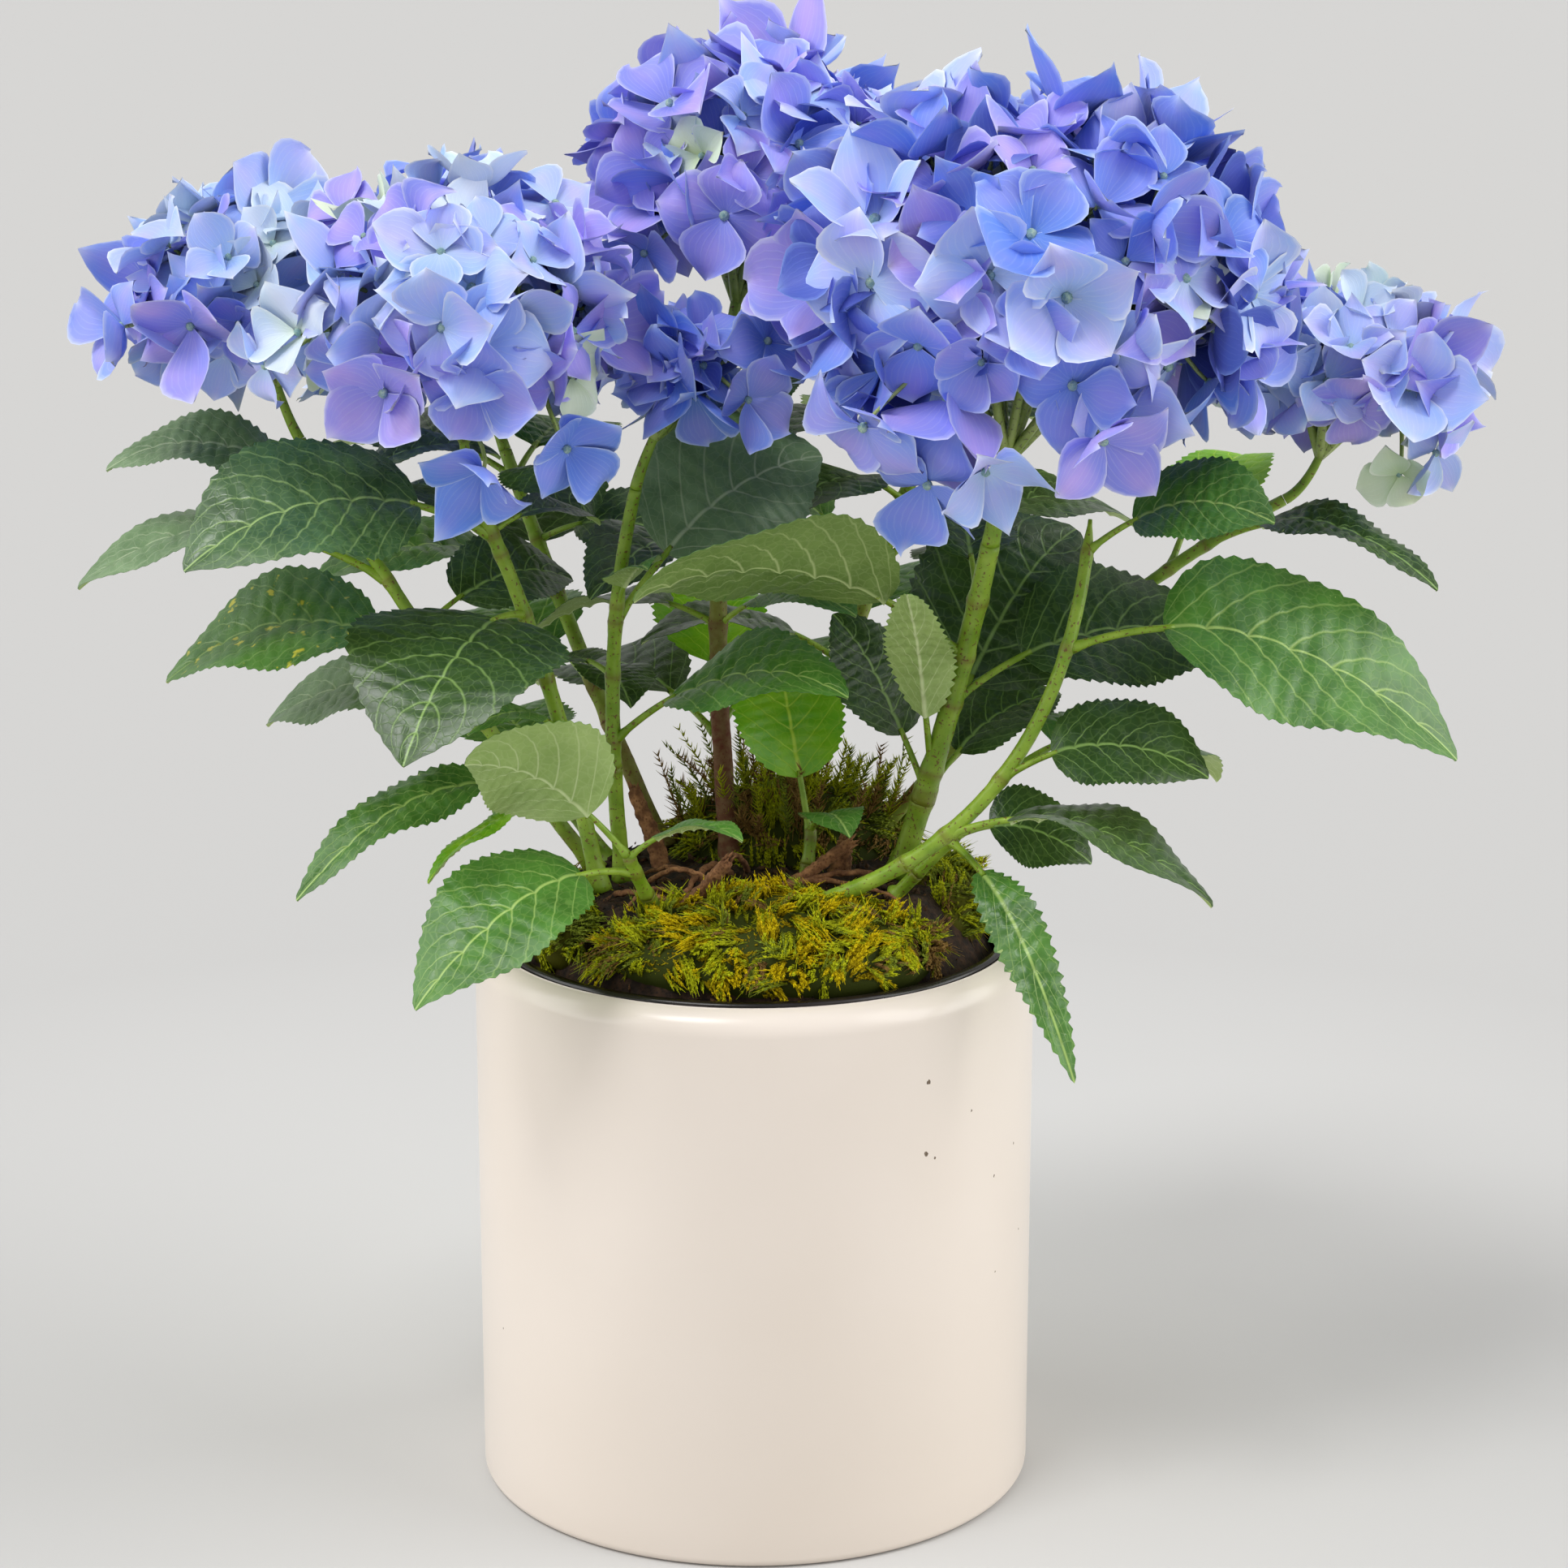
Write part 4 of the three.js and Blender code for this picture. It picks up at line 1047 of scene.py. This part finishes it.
def eyePart(florets):  # the round bead in the middle of each floret
    rings, sides = eyeForm["rings"], eyeForm["sides"]
    polar, turn = np.radians(np.linspace(14, 166, rings)), np.arange(sides) * 2 * np.pi / sides
    polar, turn = np.meshgrid(polar, turn, indexing="ij")
    level = np.sin(polar)
    ball = np.stack([level * np.cos(turn), level * np.sin(turn), np.cos(polar)], -1)
    place = np.array([f[0] + f[1] * eyeForm["proud"] for f in florets])
    sizes = np.array([f[3] for f in florets]) / floretForm["radius"] * eyeForm["radius"]
    points = place[:, None] + ball.reshape(-1, 3)[None] * sizes[:, None, None]
    caps = np.array([np.arange(sides), rings * sides - 1 - np.arange(sides)])
    faceSets = [copiesOf(faces, rings * sides, len(florets))
                for faces in (gridFaces(rings, sides, True)[:, ::-1], caps)]
    return points, faceSets, "bead", None


stalkForm = {  # radius at the start and how much it thins, sides and rings
    "main": (0.5, 12, 14), "branch": (1.7, 0.6, 6, 8), "floret": (0.85, 0.25, 4, 7),
    "bend": 14, "mainEnd": 0.6, "hubs": 9, "hubShare": 0.48, "hubPolar": (20, 95), "droop": 3,
}


def stalkTube(curve, radius, thins, sides, rings, finish="stalk", end=1):
    t = np.linspace(0, end, rings)
    return tube(bezier(curve, t), radius - thins * t, sides, finish, np.zeros((rings, 2)))


def stalkParts(cane, florets):  # the head's stalk forks to hubs, and each floret stands on one
    head, form = cane["head"], stalkForm
    tip, along = bezier(cane["axis"], cane["top"]), bezierAlong(cane["axis"], cane["top"])
    start, centre = tip + along * clearance, np.array(head[0], float)
    curve = (start, start + along * form["bend"], centre)
    radius, (thins, sides, rings) = cane["radius"][1], form["main"]
    parts = [stalkTube(curve, radius, radius * thins, sides, rings, "stem", form["mainEnd"])]
    fork = bezier(curve, 0.5)
    hubs = []
    first, spread = form["hubPolar"]
    for index in range(form["hubs"]):
        polar = first + spread * (index + 0.5) / form["hubs"]
        hub, _ = domePoint(head, polar, index * headForm["golden"], form["hubShare"])
        hubs.append(hub)
        middle = (fork + hub) / 2 - np.array([0, 0, form["droop"]])
        parts.append(stalkTube((fork, middle, hub), *form["branch"]))
    for place, outward, _, size, _ in florets:
        hub = min(hubs, key=lambda spot: np.linalg.norm(spot - place))
        neck = place - outward * size * 0.5
        parts.append(stalkTube((hub, neck, place), *form["floret"]))
    return parts


# Growing it all

oldWood, shoots, frontLeaves, backLeaves = [], [], [], []
eyes, stalks = [], []
headGroups = {"large": "ag", "left": "def", "back": "chk"}
groupOf = {name: group for group, names in headGroups.items() for name in names}
petals, headsOf = {group: [] for group in headGroups}, {group: [] for group in headGroups}
backCanes = ("c", "f", "g", "h", "k", "back", "left")
woodNodes, frontNodes, backNodes = [], [], []

for index, (name, cane) in enumerate(canes.items()):
    draws = seeded(1000 + index * 77)
    dice = np.random.default_rng(500 + index)
    prefix = "sprout_" if name in sprouts else "cane_"
    woodNodes.append(prefix + name)
    leaves, nodes = (backLeaves, backNodes) if name in backCanes else (frontLeaves, frontNodes)
    nodes.append(prefix + name + "_leaves")
    oldWood.append(stemPart(cane, 0, cane["wood"] + stemForm["overlap"], dice))
    shoots.append(stemPart(cane, cane["wood"], cane["top"], dice))
    for leaf in cane["leaves"]:
        for part in leafParts(cane, leaf, next(draws), dice):
            (shoots if part[2] == "stem" else leaves).append(part)
    if "head" in cane:
        florets = headFlorets(name, cane, draws)
        petals[groupOf[name]] += petalParts(florets, dice)
        headsOf[groupOf[name]].append("bloom_" + name)
        eyes.append(eyePart(florets))
        stalks += stalkParts(cane, florets)
        print("head", name, len(florets), "florets")

makePiece("old_wood", oldWood, woodNodes)
makePiece("green_shoots", shoots, frontNodes + backNodes)
makePiece("leaves_front", frontLeaves, frontNodes)
makePiece("leaves_back", backLeaves, backNodes)
for group, parts in petals.items():
    makePiece("petals_" + group, parts, headsOf[group])
allHeads = sum(headsOf.values(), [])
makePiece("flower_eyes", eyes, allHeads)
makePiece("flower_stalks", stalks, allHeads)

# Moss

sideMoss = [("mossGreen", 0.5), ("mossLime", 0.35), ("mossBrown", 0.15)]
mossForms = {  # the cushions; the finishes go with their shares of the strands
    "front": {"at": (5, -48, 186), "size": (53, 27, 19), "count": 4600, "length": (4.5, 8.5),
              "darkRim": 0.4, "finishes": [("mossGold", 0.46), ("mossLime", 0.3),
                                           ("mossGreen", 0.14), ("mossBrown", 0.1)]},
    "back": {"at": (12, 42, 192), "size": (42, 30, 28), "count": 1900, "length": (5, 9),
             "darkRim": 0.1, "finishes": [("mossLime", 0.46), ("mossGreen", 0.22),
                                          ("mossBrown", 0.32)]},
    "left": {"at": (-58, -18, 186), "size": (15, 27, 15), "count": 900, "length": (5, 9),
             "darkRim": 0, "finishes": sideMoss},
    "right": {"at": (61, 4, 186), "size": (15, 28, 16), "count": 900, "length": (5, 9),
              "darkRim": 0, "finishes": sideMoss},
}
strandForm = {"width": (0.34, 0.56), "perClump": 12, "core": 0.95, "outward": 0.4, "lean": 1.1,
              "gather": 0.7, "stray": 0.2, "droop": 0.42}
frondForm = {"rows": 4, "leaflet": 1.6, "slant": 0.5, "lift": 0.25}
sprigForm = {"count": 70, "length": (12, 24), "width": 0.5, "leaflets": 15, "leaflet": (3, 5),
             "leafletWidth": 0.34}


def swirl(points):  # a slow field that combs the strands
    across = np.sin(points[:, 1] * 0.21 + points[:, 0] * 0.07)
    return np.stack([across, np.cos(points[:, 0] * 0.19), np.zeros(len(points))], -1)


def ballPoint(height, turn):  # a point of a ball of radius 1
    level = np.sqrt(1 - height ** 2)
    return np.stack([level * np.cos(turn), level * np.sin(turn), height], -1)


def mossCore(form):  # the lumpy cushion under the strands
    at, size = np.array(form["at"], float), np.array(form["size"], float)
    polars = np.linspace(0.05, 3.09, 20)
    core, faces = turned([(max(math.sin(p), 0.02), -math.cos(p)) for p in polars], 40)
    bumps = np.array([noise.noise(Vector(p * size) * 0.25) for p in core])
    core = core * (1 + 0.05 * bumps[:, None]) * size * strandForm["core"] + at
    return core, faces, form["finishes"][-2][0], None


def mossParts(form, dice):
    count, ways = form["count"], strandForm
    at, size = np.array(form["at"], float), np.array(form["size"], float)
    height = dice.uniform(-0.1, 1, count)
    ball = ballPoint(height, dice.uniform(0, 2 * np.pi, count))
    roots = at + ball * size * ways["core"]
    outward = unit(ball / size)
    keep = np.hypot(roots[:, 0], roots[:, 1]) < linerInner - 1.5
    keep &= roots[:, 2] > soilHeight(roots[:, 0], roots[:, 1]) - 3
    roots, outward = roots[keep], outward[keep]
    clumps = roots[dice.choice(len(roots), len(roots) // ways["perClump"], replace=False)]
    mine = np.linalg.norm(roots[:, None] - clumps[None], axis=-1).argmin(1)
    clumpLean = swirl(clumps) * 0.6 + dice.normal(size=clumps.shape) * 0.5
    rim = np.clip(np.abs(roots[:, 0] - at[0]) / size[0] * 2 - 1, 0, 1) * form["darkRim"]
    rolls = dice.random(len(clumps))[mine] * 0.7 + dice.random(len(roots)) * 0.3
    rolls = np.minimum(rolls + rim, 0.999)
    edges = np.cumsum([0] + [share for _, share in form["finishes"]])
    parts = [mossCore(form)]
    for (finish, _), low, high in zip(form["finishes"], edges, edges[1:]):
        chosen = (rolls >= low) & (rolls < high)
        base, out = roots[chosen], outward[chosen]
        amount = len(base)
        middle, lean = clumps[mine[chosen]], clumpLean[mine[chosen]]
        lengths = dice.uniform(*form["length"], amount)[:, None]
        gather = (middle + (out + lean) * lengths - base) / lengths
        directions = out * ways["outward"] + lean * ways["lean"] + gather * ways["gather"]
        directions = unit(directions + dice.normal(size=(amount, 3)) * ways["stray"])
        bends = lean * 0.6 + dice.normal(size=(amount, 3)) * 0.15 - np.array([0, 0, ways["droop"]])
        tips = base + (directions + bends) * lengths
        away = np.hypot(base[:, 0], base[:, 1])
        room, over = linerInner - 1 - away, np.hypot(tips[:, 0], tips[:, 1]) - away
        lengths *= np.clip(room / np.maximum(over, 0.01), 0.3, 1)[:, None]  # not over the rim
        widths = dice.uniform(*ways["width"], amount)
        parts.append(needles(base, directions, bends, lengths, widths, finish, dice, 2))
        for share in np.linspace(0.15, 0.75, frondForm["rows"]):  # leaflets in rows of two
            spot = base + directions * lengths * share + bends * lengths * share ** 2
            onward = unit(directions + bends * 2 * share)
            aside = unit(np.cross(onward, out + dice.normal(size=(amount, 3)) * 0.25))
            grades = np.full(amount, share * 0.8)
            for way in (-1, 1):
                reach = frondForm["leaflet"] * (1.15 - share * 0.7)
                reach = reach * dice.uniform(0.7, 1.2, (amount, 1))
                slant = aside * way * frondForm["slant"] + onward + out * frondForm["lift"]
                tip = spot + slant * reach
                parts.append(spikes(spot, tip, widths * 0.9, grades, finish, dice))
    return parts


def sprigParts(form, dice):  # upright feathery sprigs on a cushion
    parts = []
    at, size = np.array(form["at"], float), np.array(form["size"], float)
    for index in range(sprigForm["count"]):
        turn, height = dice.uniform(0, 2 * np.pi), dice.uniform(0.45, 1)
        ball = ballPoint(height, turn)
        root = at + ball * size * strandForm["core"]
        length = dice.uniform(*sprigForm["length"])
        way = unit(ball * [0.6, 0.6, 0.2] + np.array([0, 0, 1]) + dice.normal(size=3) * 0.15)
        bend = dice.normal(size=3) * 0.15
        finish = ("mossGreen", "mossLime", "mossBrown")[index % 3]
        width = sprigForm["width"]
        parts.append(needles(root[None], way[None], bend[None], length, width, finish, dice))
        shares = np.repeat(np.linspace(0.15, 0.97, sprigForm["leaflets"]), 3)
        spots = root + np.outer(shares, way) * length + np.outer(shares ** 2, bend) * length
        around = unit(np.cross(way, dice.normal(size=(len(shares), 3))))
        directions = unit(around + way * 0.8)
        lengths = dice.uniform(*sprigForm["leaflet"], len(shares)) * (1.15 - shares * 0.6)
        bends = np.tile(way * 0.3, (len(shares), 1))
        widths = np.full(len(shares), sprigForm["leafletWidth"])
        parts.append(needles(spots, directions, bends, lengths, widths, finish, dice, 2))
    return parts


for name, form in mossForms.items():
    dice = np.random.default_rng(40 + len(name) * form["count"])
    parts = mossParts(form, dice)
    if name == "back":
        parts += sprigParts(form, dice)
    makePiece("moss_" + name + "_tufts", parts, ["moss_" + name])

# Floor and light

studio = {"floorReach": 40, "floorTones": (0.585, 0.51), "sky": 0.5}
suns = {  # strength, spread, turn from the front towards +X, height
    "left": (1.5, 60, -83, 27), "right": (2.1, 60, 84, 27), "above": (1.1, 20, -42, 62),
}


def floorFinish(name, near, far):  # the floor is a little lighter round the pot, against its shade
    finish = Finish(name, Roughness=1, Specular_IOR_Level=0)
    near, far = [(tone, tone * 0.99, tone * 0.972, 1) for tone in (near, far)]
    x, y, _ = finish.parts(finish.where())
    finish.feed("Base Color", finish.mix((x * x + y * y).kept(0.03, 0.4), near, far))
    return finish.material


floorMesh = bpy.data.meshes.new("floor")
reach = studio["floorReach"]
corners = [(-reach, -reach, 0), (reach, -reach, 0), (reach, reach, 0), (-reach, reach, 0)]
floorMesh.from_pydata(corners, [], [(0, 1, 2, 3)])
floorMesh.materials.append(floorFinish("studio_floor", *studio["floorTones"]))
floor = bpy.data.objects.new("floor", floorMesh)
bpy.context.collection.objects.link(floor)

world = bpy.data.worlds.new("studio")
world.use_nodes = True
sky = world.node_tree.nodes["Background"].inputs
sky["Color"].default_value = (1, 1, 1, 1)
sky["Strength"].default_value = studio["sky"]
bpy.context.scene.world = world


def addSun(name, strength, spread, azimuth, elevation):
    data = bpy.data.lights.new(name, "SUN")
    data.energy, data.angle = strength, math.radians(spread)
    sun = bpy.data.objects.new(name, data)
    azimuth, elevation = math.radians(azimuth), math.radians(elevation)
    level = math.cos(elevation)
    way = Vector((math.sin(azimuth) * level, -math.cos(azimuth) * level, math.sin(elevation)))
    sun.rotation_euler = way.to_track_quat("Z", "Y").to_euler()
    bpy.context.collection.objects.link(sun)


for name, values in suns.items():
    addSun(name, *values)
bpy.context.scene.view_settings.view_transform = "Standard"
print("stage and lights set")
